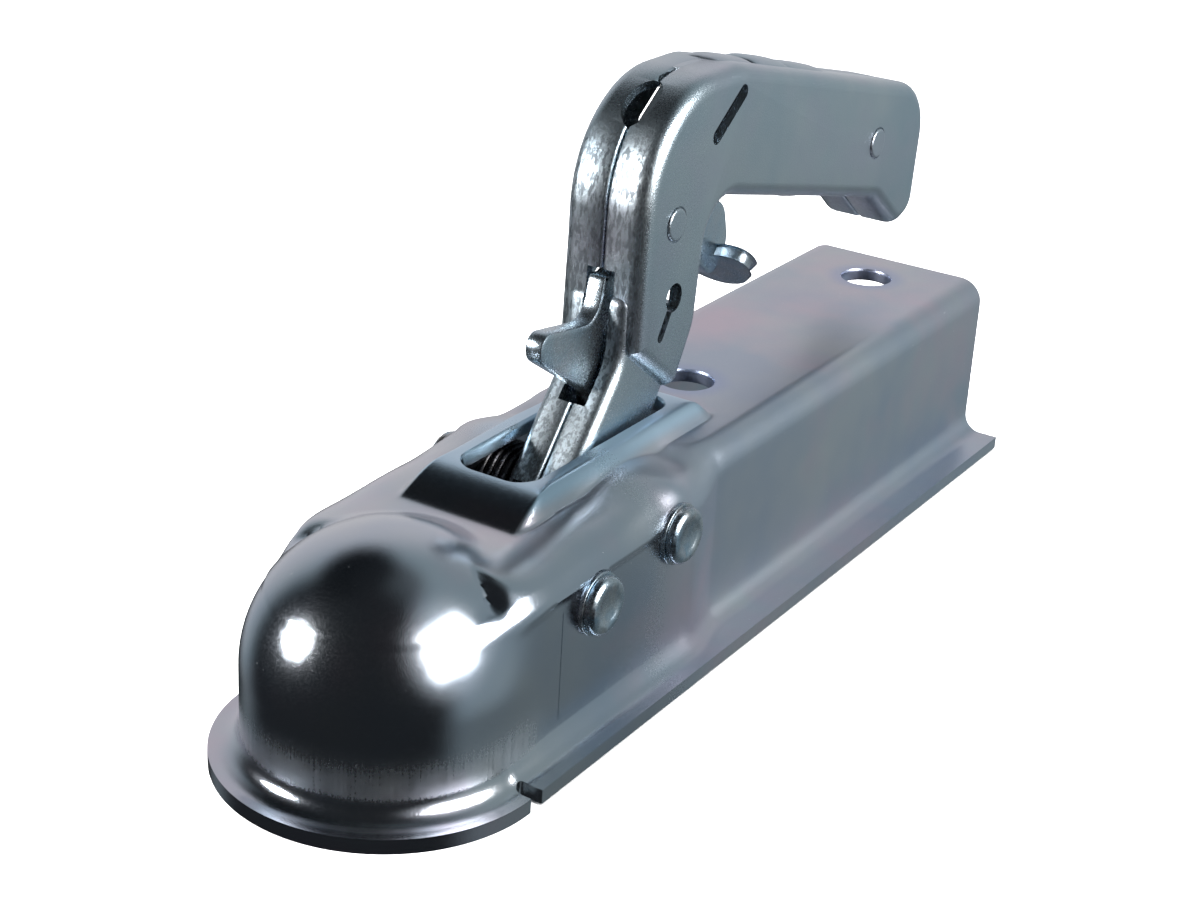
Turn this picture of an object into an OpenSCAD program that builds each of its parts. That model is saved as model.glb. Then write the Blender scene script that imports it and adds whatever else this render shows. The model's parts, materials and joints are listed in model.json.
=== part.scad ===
// Trailer coupling head: a pressed housing that bolts over a square drawbar and takes a
// coupling ball, a ball jaw on a cross pin, and a handle of two pressed shells with a latch.
// The origin is the centre of the ball. +X points to the nose, +Y to the left, +Z up.

/* [Ball socket] */
// Diameter of the coupling ball
ball_d = 50; // [49:0.5:51]
// Gap between the ball and the inside of the dome
ball_gap = 0.15; // [0.05:0.05:0.3]
// Wall of the drawn dome
dome_t = 2.6; // [2.2:0.1:3.2]
// Width of the ring flange outside the dome
ring_w = 6; // [4:0.5:9]
// Thickness of the ring flange
ring_t = 3.1; // [2.5:0.1:4]
// Depth of the lower face of the ring flange below the ball centre
mouth_drop = 20.4; // [19:0.1:23]
// Slit between the ring flange and the side flanges
slit_w = 3; // [2:0.5:4]

/* [Channel] */
// Thickness of the pressed sheet
sheet_t = 3; // [2.5:0.1:3.5]
// Outer width of the drawbar channel
channel_w = 50; // [48:0.5:52]
// Height of the channel top above the ball centre
channel_top = 23.5; // [22.5:0.1:24.5]
// Distance from the ball centre to the rear edge
channel_end = 214; // [200:1:240]
// Outer corner radius of the channel
channel_corner = 6; // [4:0.5:8]
// Width over both side flanges
flange_w = 68.4; // [64:0.2:74]
// Depth of the lower face of the side flanges below the ball centre
flange_drop = 19.8; // [18.5:0.1:20.4]
// Outer fillet between a wall and its flange
flange_fillet = 4.5; // [3:0.5:6]

/* [Shoulder] */
// Width over the bulged front walls
front_w = 56; // [55.5:0.1:57]
// Depth of the flat side panels below the bulged walls
panel_inset = 0.4; // [0.2:0.1:0.6]
// Height of the side panels above the ball centre
panel_top = 15; // [13:0.5:16]
// Distance behind the ball centre where the front walls step in to the channel
waist = 76; // [72:1:82]
// Width of the flat top of the front part
crown_w = 28; // [24:1:30]
// Rise of the shoulders over the handle springs
spring_bulge = 2; // [1:0.5:3]

/* [Collar] */
// Height of the collar above the channel top
collar_h = 4.5; // [3:0.5:6]
// Width of the handle slot
slot_w = 18; // [17:0.5:19]
// Distance behind the ball centre to the front of the handle slot
slot_front = 31.5; // [28:0.5:34]
// Length of the handle slot
slot_l = 54.5; // [53:0.5:60]
// Width of the flat rim round the slot
rim_w = 3; // [2:0.5:4]
// Outward spread of the collar walls between rim and foot
collar_spread = 3.4; // [2:0.2:5]
// Extra length of the ramp in front of the collar
ramp_l = 11; // [8:0.5:13]

/* [Bolt holes] */
// Diameter of the two drawbar bolt holes
bolt_d = 12.5; // [10.5:0.5:14.5]
// Distance between the two bolt holes
bolt_pitch = 90; // [80:1:100]
// Distance from the rear edge to the rear bolt hole
bolt_edge = 16.5; // [14:0.5:24]

/* [Cross pins] */
// Shank diameter of both cross pins
pin_d = 8; // [7:0.5:9]
// Head diameter of both cross pins
head_d = 12; // [11:0.5:14]
// Thickness of a pin head
head_t = 2.2; // [1.5:0.1:3.5]
// Thickness of the washers under the heads
washer_t = 1; // [0.8:0.1:2]
// Distance of the jaw pin's centre line behind the room for the ball
jaw_pin_gap = 3.85; // [3.6:0.05:5]
// Height of the jaw pin above the ball centre
jaw_pin_up = 9.5; // [9:0.5:11]
// Distance of the handle pin behind the ball centre
handle_pin_back = 58.5; // [57:0.5:60]
// Height of the handle pin above the ball centre
handle_pin_up = 13; // [12:0.5:13.5]
// Radial running gap at every pin
run_gap = 0.05; // [0.02:0.01:0.1]
// Side play between neighbouring pieces on a pin
side_gap = 0.3; // [0.2:0.1:0.5]

/* [Jaw] */
// Wall of the jaw cup
jaw_t = 3.6; // [3:0.2:4]
// Width over the two jaw ears
jaw_w = 27; // [26:0.5:29]
// Thickness of a jaw ear
ear_t = 3.5; // [3:0.5:4.5]
// Outer radius of an ear round its pin
ear_r = 7; // [6.5:0.1:7.2]
// Angle below the horizontal where the jaw lip ends
jaw_lip = 34; // [30:1:38]

/* [Handle] */
// Width of the handle over both shells
handle_w = 20; // [18:0.5:22]
// Width of the neck that passes through the slot
neck_w = 15; // [14:0.5:15.5]
// Sheet thickness of the handle shells
shell_t = 2; // [1.6:0.1:2.4]
// Edge radius of the handle shells
shell_r = 3.5; // [2.5:0.1:4]
// Edge radius of the neck
neck_r = 2.6; // [2.2:0.1:3]
// Gap in the seam between the two shells
seam_gap = 0.4; // [0.2:0.1:0.8]
// Height of the top of the arm above the handle pin
arm_rise = 84.4; // [80:0.2:90]
// Distance of the front of the arm behind the handle pin
arm_back = 10.5; // [9:0.5:12]
// Depth of the arm from front to back
arm_d = 25; // [24:0.5:28]
// Outer radius of the bend between arm and grip
bend_r = 26; // [22:1:30]
// Distance from the front of the arm to the end of the grip
grip_l = 132.5; // [126:0.5:140]
// Depth of the grip from its top to its lower edge
grip_d = 29.8; // [28:0.2:31]
// Fall of the grip from bend to end
grip_fall = 23.5; // [20:0.5:27]
// Depth of the pommel below the lower edge of the grip
pommel_d = 5.5; // [3:0.5:8]
// Diameter of the latch rivet and of the grip rivet
rivet_d = 5; // [4:0.5:6]
// Head diameter of the rivets
rivet_head_d = 7; // [6.5:0.1:9]
// Height of a rivet head
rivet_head_t = 1; // [0.6:0.1:1.6]
// Distance of the latch rivet behind the front of the arm
rivet_back = 11.8; // [11:0.2:14]
// Height of the latch rivet above the handle pin
rivet_rise = 55.5; // [53:0.1:58]
// Distance of the grip rivet from the end of the grip
grip_rivet_in = 28; // [24:0.5:32]

/* [Latch] */
// Thickness of the latch plate
latch_t = 4; // [3:0.2:4.4]
// Width of the slot in the shells for the latch plate
latch_slot = 6.6; // [6:0.2:8]
// Width of the finger rest
rest_w = 19.6; // [16:0.2:22]
// Depth of the finger rest down its slope
rest_l = 12.4; // [10:0.2:14]
// Slope of the finger rest from the horizontal
rest_slope = 45; // [38:1:52]

/* [Springs] */
// Wire of the two handle springs
main_wire = 1.9; // [1.6:0.1:2]
// Wire of the two jaw springs
jaw_wire = 1.3; // [1:0.1:1.5]
// Wire of the latch spring
latch_wire = 1.1; // [0.9:0.1:1.3]

/* [Hidden] */
cut = 1;
tiny = 1e-7;
wire_sides = 6;
ball_r = ball_d / 2 + ball_gap;
dome_r = ball_r + dome_t;
ring_r = dome_r + ring_w;
front_half = front_w / 2;
panel_y = front_half - panel_inset;
channel_half = channel_w / 2;
flange_half = flange_w / 2;
crown_half = crown_w / 2;
waist_l = 16;
ring_fillet = 4.5;
mouth_lead = 3.6;
flange_top = sheet_t - flange_drop;
rim_top = channel_top + collar_h;
slot_rear = slot_front + slot_l;
jaw_pin_at = [-ball_r - jaw_pin_gap, 0, jaw_pin_up];
handle_pin_at = [-handle_pin_back, 0, handle_pin_up];
arm_front = -handle_pin_back - arm_back;
arm_rear = arm_front - arm_d;
arm_top = handle_pin_up + arm_rise;
grip_end = arm_front - grip_l;
latch_at = [arm_front - rivet_back, 0, handle_pin_up + rivet_rise];
shell_half = handle_w / 2;
neck_half = neck_w / 2;
spacer_r = pin_d / 2 + 2;
washer_r = head_d / 2 + 0.5;
inner_wall = panel_y - sheet_t;
zinc = [0.62, 0.65, 0.68];
zinc_dull = [0.6, 0.6, 0.64];
steel_dark = [0.32, 0.33, 0.35];
spring_steel = [0.22, 0.22, 0.24];

function ease(t) = let (s = max(0, min(1, t))) s * s * (3 - 2 * s);
function mix(a, b, t) = a + (b - a) * t;
function hump(x, mid, reach) = let (s = max(0, 1 - abs(x - mid) / reach)) s * s * (3 - 2 * s);
function unit(v) = v / norm(v);
function turned(v) = [-v[1], v[0]];
function flat_of(rings) = [for (ring = rings) each ring];

// Triangles that fill a simple outline: ears are cut off until three corners are left.
function turn_at(a, b, c) = (b[0] - a[0]) * (c[1] - a[1]) - (b[1] - a[1]) * (c[0] - a[0]);
function covers(a, b, c, p) = turn_at(a, b, p) > -tiny && turn_at(b, c, p) > -tiny && turn_at(c, a, p) > -tiny;
function is_ear(p, q, i) = let (n = len(q), a = q[(i + n - 1) % n], b = q[i], c = q[(i + 1) % n])
    turn_at(p[a], p[b], p[c]) > tiny
    && len([for (k = q) if (k != a && k != b && k != c && covers(p[a], p[b], p[c], p[k])) k]) == 0;
function ears(p, q) = len(q) == 3 ? [q] :
    let (n = len(q), i = [for (k = [0 : n - 1]) if (is_ear(p, q, k)) k][0])
    concat([[q[(i + n - 1) % n], q[i], q[(i + 1) % n]]], ears(p, [for (k = [0 : n - 1]) if (k != i) q[k]]));
function reversed(v) = [for (i = [len(v) - 1 : -1 : 0]) v[i]];
function outline_area(p) = let (n = len(p))
    [for (i = [0 : n - 1]) cross(p[i], p[(i + 1) % n])] * [for (q = p) 0.5];
// The outline may run either way, and its triangles keep its own order.
function fill(p) = let (side = sign(outline_area(p)))
    ears([for (q = p) [side * q[0], q[1]]], [for (i = [0 : len(p) - 1]) i]);

// A solid through a list of rings, each the same number of points, closed at both ends.
// The two axes are those of the plane that the end rings are seen in.
function ring_faces(n, m, first, last) = concat(first,
    [for (k = [0 : m - 2], i = [0 : n - 1])
        let (j = (i + 1) % n, a = k * n, b = a + n) each [[a + i, b + i, a + j], [a + j, b + i, b + j]]],
    [for (f = last) [for (i = reversed(f)) (m - 1) * n + i]]);

function seen_in(ring, axes) = [for (p = ring) [p[axes[0]], p[axes[1]]]];

module loft(rings, axes = [0, 1]) {
    first = fill(seen_in(rings[0], axes));
    last = fill(seen_in(rings[len(rings) - 1], axes));
    polyhedron(flat_of(rings), ring_faces(len(rings[0]), len(rings), first, last), convexity = 8);
}

// Rounded polygon: corners are [x, z, radius], listed anticlockwise.
function corner_turn(p, i) = let (n = len(p), a = p[(i + n - 1) % n], b = p[i], c = p[(i + 1) % n])
    cross([b[0] - a[0], b[1] - a[1]], [c[0] - b[0], c[1] - b[1]]) > 0 ? 1 : -1;
function inset_corner(p, i, d) = let (n = len(p), a = p[(i + n - 1) % n], b = p[i], c = p[(i + 1) % n],
    u = unit([b[0] - a[0], b[1] - a[1]]), v = unit([c[0] - b[0], c[1] - b[1]]),
    m = turned(u) + turned(v), s = d * 2 / (m * m))
    [b[0] + m[0] * s, b[1] + m[1] * s, max(0.2, b[2] - corner_turn(p, i) * d)];
function inset(p, d) = [for (i = [0 : len(p) - 1]) inset_corner(p, i, d)];
function corner_arc(p, i, steps) = let (n = len(p), a = p[(i + n - 1) % n], b = p[i], c = p[(i + 1) % n],
    u = unit([a[0] - b[0], a[1] - b[1]]), v = unit([c[0] - b[0], c[1] - b[1]]),
    half = acos(max(-1, min(1, u * v))) / 2, side = corner_turn(p, i),
    mid = [b[0], b[1]] + unit(u + v) * b[2] / sin(half),
    from = atan2(-side * u[0], side * u[1]) + 180, sweep = side * (180 - 2 * half))
    [for (k = [0 : steps]) mid + b[2] * [cos(from + sweep * k / steps), sin(from + sweep * k / steps)]];
function rounded(p, steps = 3) = [for (i = [0 : len(p) - 1]) each corner_arc(p, i, steps)];

// A plate in the X-Z plane, from one y to another.
module slab(y0, y1) {
    translate([0, y1, 0]) rotate([90, 0, 0]) linear_extrude(height = y1 - y0) children();
}

module cross_rod(at, r, y0, y1, facets = 48) {
    translate([at[0], y1, at[2]]) rotate([90, 0, 0]) cylinder(r = r, h = y1 - y0, $fn = facets);
}

module both_sides() {
    children();
    mirror([0, 1, 0]) children();
}

// Half width, crown height and shoulder height of the housing at a distance behind the ball.
function front_part(d) = 1 - ease((d - waist + waist_l / 2) / waist_l);
function wall_half(d) = mix(channel_half, mix(dome_r - 0.5, front_half, ease((d + 2) / 12)), front_part(d));
function crown_z(d) = channel_top + spring_bulge * hump(d, handle_pin_back - 3, 17)
    - 14 * pow(max(0, 6 - d) / 8, 2);
function shoulder_z(d) = mix(channel_top - channel_corner, panel_top - 17 * pow(max(0, 10 - d) / 12, 2.4),
    front_part(d));
function flat_half(d) = mix(channel_half - channel_corner, crown_half, front_part(d));

// Section of the housing: its outer skin, or with t the skin that lies t further in.
function half_section(d, t) = let (w = wall_half(d) - t, z0 = flange_top - t, f = flange_fillet + t,
    y1 = flat_half(d), z1 = shoulder_z(d))
    concat(t > 0 ? [[w + f, z0 - cut]] : [[flange_half, flange_top - sheet_t], [flange_half, flange_top]],
        [for (a = [0 : 30 : 90]) [w + f * (1 - sin(a)), z0 + f * (1 - cos(a))]],
        [for (a = [0 : 15 : 90]) [mix(y1, w, cos(a)), mix(z1, crown_z(d) - t, sin(a))]]);
function section(d, t) = let (h = half_section(d, t), n = len(h))
    concat([for (p = h) [-d, -p[0], p[1]]], [for (i = [n - 1 : -1 : 0]) [-d, h[i][0], h[i][1]]]);

module tunnel(t, from, to) {
    stations = concat([for (d = [from : 2 : 10]) d], [for (d = [13 : 5 : waist - 10]) d],
        [for (d = [waist - 8 : 3 : waist + 7]) d], [waist + waist_l / 2 + 1, to]);
    loft([for (d = stations) section(d, t)], [1, 2]);
}

// Rounded rectangle from x = -front to x = -rear at one height.
function plan_ring(front, rear, half, r, z) = let (p = [[-rear, -half, r], [-front, -half, r],
    [-front, half, r], [-rear, half, r]]) [for (q = rounded(p, 5)) [q[0], q[1], z]];

module collar_form(t) {
    foot = slot_w / 2 + rim_w + collar_spread - t;
    lip = slot_w / 2 + rim_w - t;
    front = slot_front - rim_w + t;
    rear = slot_rear + rim_w - t;
    low = channel_top - sheet_t;
    round_in = t > 0 ? 0.2 : 0.8;
    loft([plan_ring(front - ramp_l - 2, rear + collar_spread + 2, foot + 0.8, 6, low - t),
        plan_ring(front - ramp_l, rear + collar_spread, foot, 6, channel_top + 0.6 - t),
        plan_ring(front - 1.5, rear + 0.4, lip + 0.4, 5, rim_top - round_in - t),
        plan_ring(front + 0.6, rear - round_in, lip - round_in, 5, rim_top - t)]);
}

module slot_cut() {
    half = slot_w / 2;
    low = channel_top - sheet_t - 4;
    loft([for (z = [low, rim_top + cut]) plan_ring(slot_front, slot_rear, half, 5, z)]);
}

// The ring flange with its fillet into the skirt, round the front half of the mouth.
module ring_flange() {
    low = -mouth_drop;
    f = ring_fillet;
    rotate([0, 0, -90]) rotate_extrude(angle = 180, $fn = 64)
        polygon(concat([[ball_r - 1, low], [ring_r, low], [ring_r, low + ring_t]],
            [for (a = [0 : 22.5 : 90]) [dome_r + f * (1 - sin(a)), low + ring_t + f * (1 - cos(a))]],
            [[ball_r - 1, low + ring_t + f]]));
}

// A hemisphere over a straight skirt, as one turned shape.
module dome_body(r, low) {
    rotate_extrude($fn = 96) {
        intersection() {
            circle(r = r, $fn = 96);
            square(r);
        }
        translate([0, low]) square([r, -low]);
    }
}

// The room for the ball: the dome inside, and a rounded lead round the front of the mouth.
module ball_room() {
    low = -mouth_drop;
    dome_body(ball_r, low - cut);
    rotate([0, 0, -90]) rotate_extrude(angle = 180, $fn = 64)
        polygon(concat([[ball_r - 1, low - cut], [ball_r + mouth_lead, low - cut]],
            [for (a = [0 : 22.5 : 67.5]) [ball_r + mouth_lead * (1 - sin(a)), low + mouth_lead * (1 - cos(a))]],
            [[ball_r - 1, low + mouth_lead]]));
}

module side_panels() {
    span = waist - 12;
    both_sides() translate([-4 - span, panel_y, flange_top + flange_fillet])
        cube([span, 5, panel_top - flange_top - flange_fillet]);
}

// The pressed sheet before its holes are pierced.
module pressed_form() {
    difference() {
        union() {
            dome_body(dome_r, -mouth_drop + ring_t / 2);
            tunnel(0, -2, channel_end);
            collar_form(0);
            ring_flange();
        }
        tunnel(sheet_t, 0, channel_end + cut);
        collar_form(sheet_t);
        slot_cut();
        side_panels();
        both_sides() translate([-slit_w, dome_r + 0.4, -mouth_drop - cut])
            cube([slit_w, flange_half, ring_t + flange_fillet + cut]);
    }
}

// A pin's hole through the wall, and outside it the flat seat that is coined for the washer.
module pin_hole(at) {
    cross_rod(at, pin_d / 2 + run_gap, channel_half - sheet_t - cut, flange_half);
    cross_rod(at, washer_r + side_gap, panel_y, flange_half);
}

module housing() {
    color(zinc_dull) difference() {
        pressed_form();
        ball_room();
        both_sides() pin_hole(jaw_pin_at);
        both_sides() pin_hole(handle_pin_at);
        for (x = [0, bolt_pitch]) translate([x + bolt_edge - channel_end, 0, channel_top / 2])
            cylinder(d = bolt_d, h = channel_top, $fn = 64);
    }
}

// A headed cross pin: both ends carry a dished head with a bevelled rim, outside the washers.
module pin_head(at, y) {
    translate([at[0], y, at[2]]) rotate([-90, 0, 0]) rotate_extrude($fn = 64)
        polygon([[0, 0], [head_d / 2, 0], [head_d / 2, head_t - 0.8], [head_d / 2 - 0.8, head_t],
            [head_d / 2 - 2.2, head_t], [head_d / 2 - 3, head_t - 0.4], [0, head_t - 0.4]]);
}

module cross_pin(at) {
    end = panel_y + washer_t;
    cross_rod(at, pin_d / 2, -end, end);
    both_sides() pin_head(at, end);
}

module pin_washers(at) {
    both_sides() difference() {
        cross_rod(at, washer_r, panel_y, panel_y + washer_t, 64);
        cross_rod(at, pin_d / 2 + run_gap, panel_y - cut, panel_y + washer_t + cut);
    }
}

module jaw_pin() {
    color(zinc) cross_pin(jaw_pin_at);
}

module jaw_pin_washers() {
    color(zinc) pin_washers(jaw_pin_at);
}

module handle_pin() {
    color(zinc) cross_pin(handle_pin_at);
}

module handle_pin_washers() {
    color(zinc) pin_washers(handle_pin_at);
}

// A tube on a cross pin. Its outer end is turned to a cone, which clears the round of the shoulder.
module spacer(at, y0) {
    l = inner_wall - side_gap - y0;
    bore = pin_d / 2 + run_gap;
    cone = spacer_r - bore - side_gap;
    translate([at[0], y0, at[2]]) rotate([-90, 0, 0]) rotate_extrude($fn = 64)
        polygon([[bore, 0], [spacer_r, 0], [spacer_r, l - cone], [spacer_r - cone, l], [bore, l]]);
}

module jaw_spacers() {
    color(steel_dark) both_sides() spacer(jaw_pin_at, jaw_w / 2 + side_gap);
}

module handle_spacers() {
    color(steel_dark) both_sides() spacer(handle_pin_at, neck_half + side_gap);
}

jaw_face = ball_r + side_gap;
jaw_back = jaw_face + jaw_t + 2.2;

// The jaw: a cup that hooks under the rear of the ball, hung by two ears from the jaw pin.
module jaw_profile(r0, r1, a0, a1) {
    polygon(concat([for (a = [a0 : (a1 - a0) / 12 : a1 + 0.01]) r0 * [cos(a), sin(a)]],
        [for (a = [a1 : (a0 - a1) / 12 : a0 - 0.01]) r1 * [cos(a), sin(a)]]));
}

module jaw() {
    half = jaw_w / 2;
    lip = 180 + jaw_lip;
    color(steel_dark) difference() {
        union() {
            intersection() {
                sphere(r = jaw_face + jaw_t, $fn = 96);
                slab(-half, half) jaw_profile(10, jaw_back, 172, lip);
            }
            both_sides() slab(half - ear_t, half) jaw_profile(18, jaw_back, 158, lip - 8);
            both_sides() cross_rod(jaw_pin_at, ear_r, half - ear_t, half);
            slab(-neck_half, neck_half) jaw_profile(jaw_face + 1, jaw_back, 176, 196);
        }
        sphere(r = jaw_face, $fn = 96);
        cross_rod(jaw_pin_at, pin_d / 2 + run_gap, -half - cut, half + cut);
    }
}

// A torsion spring on a cross pin: wire swept along a coil with a straight leg at each end.
function coil_path(at, r, y0, y1, turns, start, leg0, leg1) = concat(
    [leg0],
    [for (k = [0 : turns * 12]) let (a = start - k * 30, s = k / (turns * 12))
        [at[0] + r * cos(a), mix(y0, y1, s), at[2] + r * sin(a)]],
    [leg1]);
function tangent(p, i) = unit(p[min(i + 1, len(p) - 1)] - p[max(i - 1, 0)]);
function wire_ring(p, i, r) = let (t = tangent(p, i),
    side = unit(abs(t[1]) > 0.9 ? cross(t, [1, 0, 0]) : cross(t, [0, 1, 0])), up = cross(t, side))
    [for (k = [0 : wire_sides - 1]) let (a = k * 360 / wire_sides) p[i] + r * (cos(a) * side + sin(a) * up)];

module wire(p, d) {
    rings = [for (i = [0 : len(p) - 1]) wire_ring(p, i, d / 2)];
    fan = [for (k = [1 : wire_sides - 2]) [0, k, k + 1]];
    polyhedron(flat_of(rings), ring_faces(wire_sides, len(rings), fan, fan), convexity = 8);
}

module handle_spring() {
    r = spacer_r + main_wire / 2 + 0.6;
    y0 = neck_half + 2;
    at = handle_pin_at;
    y1 = y0 + 4 * (main_wire + 0.1);
    wire(coil_path(at, r, y0, y1, 4.25, 180, [at[0] - r, y0 - 0.4, at[2] - 16],
        [at[0] + 12, y1 + 0.6, at[2] + r - 1.6]), main_wire);
}

module main_spring_left() {
    color(spring_steel) handle_spring();
}

module main_spring_right() {
    color(spring_steel) mirror([0, 1, 0]) handle_spring();
}

module jaw_spring() {
    r = spacer_r + jaw_wire / 2 + 0.4;
    y0 = jaw_w / 2 + jaw_wire;
    at = jaw_pin_at;
    wire(coil_path(at, r, y0, y0 + 4 * (jaw_wire + 0.3), 4.25, 180,
        [at[0] - r, y0 - 0.3, at[2] - 14], [at[0] - 12, y0 + 4.3 * (jaw_wire + 0.3), at[2] + r]), jaw_wire);
}

module jaw_spring_left() {
    color(spring_steel) jaw_spring();
}

module jaw_spring_right() {
    color(spring_steel) mirror([0, 1, 0]) jaw_spring();
}

// The sector that the latch toe rides over, fixed to the handle pin between the cam plates.
module lock_sector() {
    color(steel_dark) slab(-latch_t / 2, latch_t / 2) difference() {
        translate([handle_pin_at[0], handle_pin_at[2]]) union() {
            circle(r = 8.5, $fn = 64);
            polygon([[0, 0], [3, 9.6], [-3.6, 10], [-6.2, 5]]);
        }
        translate([handle_pin_at[0], handle_pin_at[2]]) circle(r = pin_d / 2 + run_gap, $fn = 48);
    }
}

// Outlines of the handle in the X-Z plane, as corners with radii.
arm_foot = handle_pin_up + 30;
bend_back = 37;
function grip_top(x) = arm_top - grip_fall / (grip_l - bend_back) * (arm_front - bend_back - x);
function grip_low(x) = grip_top(x) - grip_d;
function grip_mid(x) = grip_top(x) - grip_d / 2;
function pommel(back, drop, r) = [grip_end + back, grip_low(grip_end + back) - pommel_d * drop, r];
grip_rivet_at = [grip_end + grip_rivet_in, 0, grip_mid(grip_end + grip_rivet_in)];
upper_outline = [
    [arm_front + 0.8, arm_foot, 2],
    [arm_front, arm_foot + 22, 30],
    [arm_front - 0.4, arm_top, bend_r],
    [arm_front - bend_back, arm_top, 20],
    [grip_end, grip_top(grip_end), 14],
    pommel(2, 0.25, 5),
    pommel(11, 1, 9),
    pommel(33, 0.85, 20),
    pommel(56, 0, 8),
    [arm_rear - 1.5, grip_low(arm_rear), 9],
    [arm_rear + 1, arm_foot + 1, 12],
    [arm_rear + 8.5, arm_foot - 13, 3]];
neck_outline = [
    [arm_front + 1.2, arm_foot + 12, 2],
    [arm_rear + 3, arm_foot + 12, 2],
    [arm_rear + 3.5, arm_foot - 3, 6],
    [-handle_pin_back - 14.5, handle_pin_up - 1, 8],
    [-handle_pin_back - 10, handle_pin_up - 12, 8],
    [-handle_pin_back + 8, handle_pin_up - 12, 8],
    [-handle_pin_back + 14, handle_pin_up + 1.5, 6],
    [arm_front + 2.2, arm_foot - 1.6, 12]];

// Half of a pressed form: walls rise from the seam and turn over into the flat side.
function turned_edge(r) = [for (a = [45, 90]) [r * sin(a), r * (1 - cos(a))]];
function form_ring(outline, d, y) = let (q = rounded(inset(outline, d)))
    [for (i = [len(q) - 1 : -1 : 0]) [q[i][0], y, q[i][1]]];

module half_form(outline, half, t, r, from) {
    top = half - t;
    bend = max(0.4, r - t);
    loft(concat([form_ring(outline, t, from), form_ring(outline, t, top - bend)],
        [for (e = turned_edge(bend)) form_ring(outline, t + e[1], top - bend + e[0])]), [0, 2]);
}

module oblong(a, b, r, y0, y1) {
    slab(y0, y1) {
        translate(a) circle(r = r, $fn = 32);
        translate(b) circle(r = r, $fn = 32);
        polygon([for (s = [[a, 1], [b, 1], [b, -1], [a, -1]]) s[0] + s[1] * r * turned(unit(b - a))]);
    }
}

// One shell as pressed, from the seam to its flat side, with its slots.
module shell_form() {
    open_half = latch_slot / 2;
    difference() {
        union() {
            half_form(upper_outline, shell_half, 0, shell_r, seam_gap / 2);
            half_form(neck_outline, neck_half, 0, neck_r, seam_gap / 2);
        }
        half_form(upper_outline, shell_half, shell_t, shell_r, 0);
        half_form(neck_outline, neck_half, shell_t, neck_r, 0);
        slab(0, open_half) polygon([[arm_front + 6, arm_foot + 17], [arm_front + 12, arm_foot - 7.5],
            [arm_front + 4.5, arm_foot - 12.5], [arm_front - 6, arm_foot - 4], [arm_front - 6, arm_foot + 17]]);
        slab(0, open_half) translate([arm_rear - 34, arm_foot + 4]) square([40, 23]);
        slab(0, neck_half - shell_t) translate([-handle_pin_back - 20, handle_pin_up - 16]) square([40, 22]);
        slab(0, 3) translate([arm_front - 9.5, arm_top - 6.5]) rotate(33) square([11, 9], center = true);
    }
}

module handle_half() {
    deep = shell_half + cut;
    key = [arm_front - 12.8, handle_pin_up + 39.5];
    difference() {
        shell_form();
        oblong([arm_front - 25.4, arm_top - 13.4], [arm_front - 36.6, arm_top - 5.1], 1.5, 0, deep);
        oblong(key, key + [4.5, -7.5], 1.1, 0, deep);
        cross_rod([key[0], 0, key[1]], 3, 0, deep);
        cross_rod(handle_pin_at, pin_d / 2 + run_gap, 0, deep);
        cross_rod(latch_at, rivet_d / 2 + run_gap, 0, deep);
        cross_rod(grip_rivet_at, rivet_d / 2 + run_gap, 0, deep);
    }
}

// Tabs of the left shell, folded over the right one along the top of the grip.
module top_tabs() {
    rise = 0.6 * shell_t;
    flat = shell_half - shell_r;
    for (span = [[-40, -68], [-70.5, -85]], side = [[seam_gap / 2, flat, -0.4], [-flat, flat, run_gap]])
        let (a = arm_front + span[0], b = arm_front + span[1], low = side[2])
            slab(side[0], side[1]) polygon([
                [a, grip_top(a) + low], [a - 3, grip_top(a - 3) + rise],
                [b + 3, grip_top(b + 3) + rise], [b, grip_top(b) + low]]);
}

module handle_shell_left() {
    color(zinc) {
        handle_half();
        top_tabs();
    }
}

module handle_shell_right() {
    color(zinc) mirror([0, 1, 0]) handle_half();
}

// Cam plates inside the neck: their noses hold the jaw against the ball while the handle is down.
module cam_plate(y0, y1) {
    c = [handle_pin_at[0], handle_pin_at[2]];
    nose = -jaw_back - side_gap;
    slab(y0, y1) difference() {
        polygon(rounded([[c[0] - 11, c[1] + 9, 4], [c[0] - 12, c[1] - 9, 8], [c[0] + 2, c[1] - 11, 8],
            [c[0] + 14, c[1] - 21, 4], [nose, c[1] - 19, 3], [nose, c[1] - 13, 3],
            [c[0] + 12, c[1] - 2, 14], [c[0] + 3, c[1] + 9, 4]], 5));
        translate(c) circle(r = pin_d / 2 + run_gap, $fn = 48);
    }
}

module cam_plate_left() {
    color(steel_dark) cam_plate(latch_t / 2 + side_gap, neck_half - shell_t);
}

module cam_plate_right() {
    color(steel_dark) mirror([0, 1, 0]) cam_plate(latch_t / 2 + side_gap, neck_half - shell_t);
}

module shell_rivet(at) {
    cross_rod(at, rivet_d / 2, -shell_half, shell_half);
    both_sides() translate([at[0], shell_half, at[2]]) rotate([-90, 0, 0]) rotate_extrude($fn = 48)
        polygon([[0, 0], [rivet_head_d / 2, 0], [rivet_head_d / 2, rivet_head_t * 0.4],
            [rivet_head_d / 2 - rivet_head_t * 0.7, rivet_head_t], [0, rivet_head_t]]);
}

module latch_rivet() {
    color(zinc) shell_rivet(latch_at);
}

module grip_rivet() {
    color(zinc) shell_rivet(grip_rivet_at);
}

module rivet_tube(at, y0, y1) {
    difference() {
        cross_rod(at, rivet_d / 2 + 1.5, y0, y1);
        cross_rod(at, rivet_d / 2 + run_gap, y0 - cut, y1 + cut);
    }
}

module latch_spacers() {
    color(steel_dark) both_sides()
        rivet_tube(latch_at, latch_t / 2 + side_gap, shell_half - shell_t);
}

module grip_spacer() {
    color(steel_dark) rivet_tube(grip_rivet_at, shell_t - shell_half, shell_half - shell_t);
}

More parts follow.
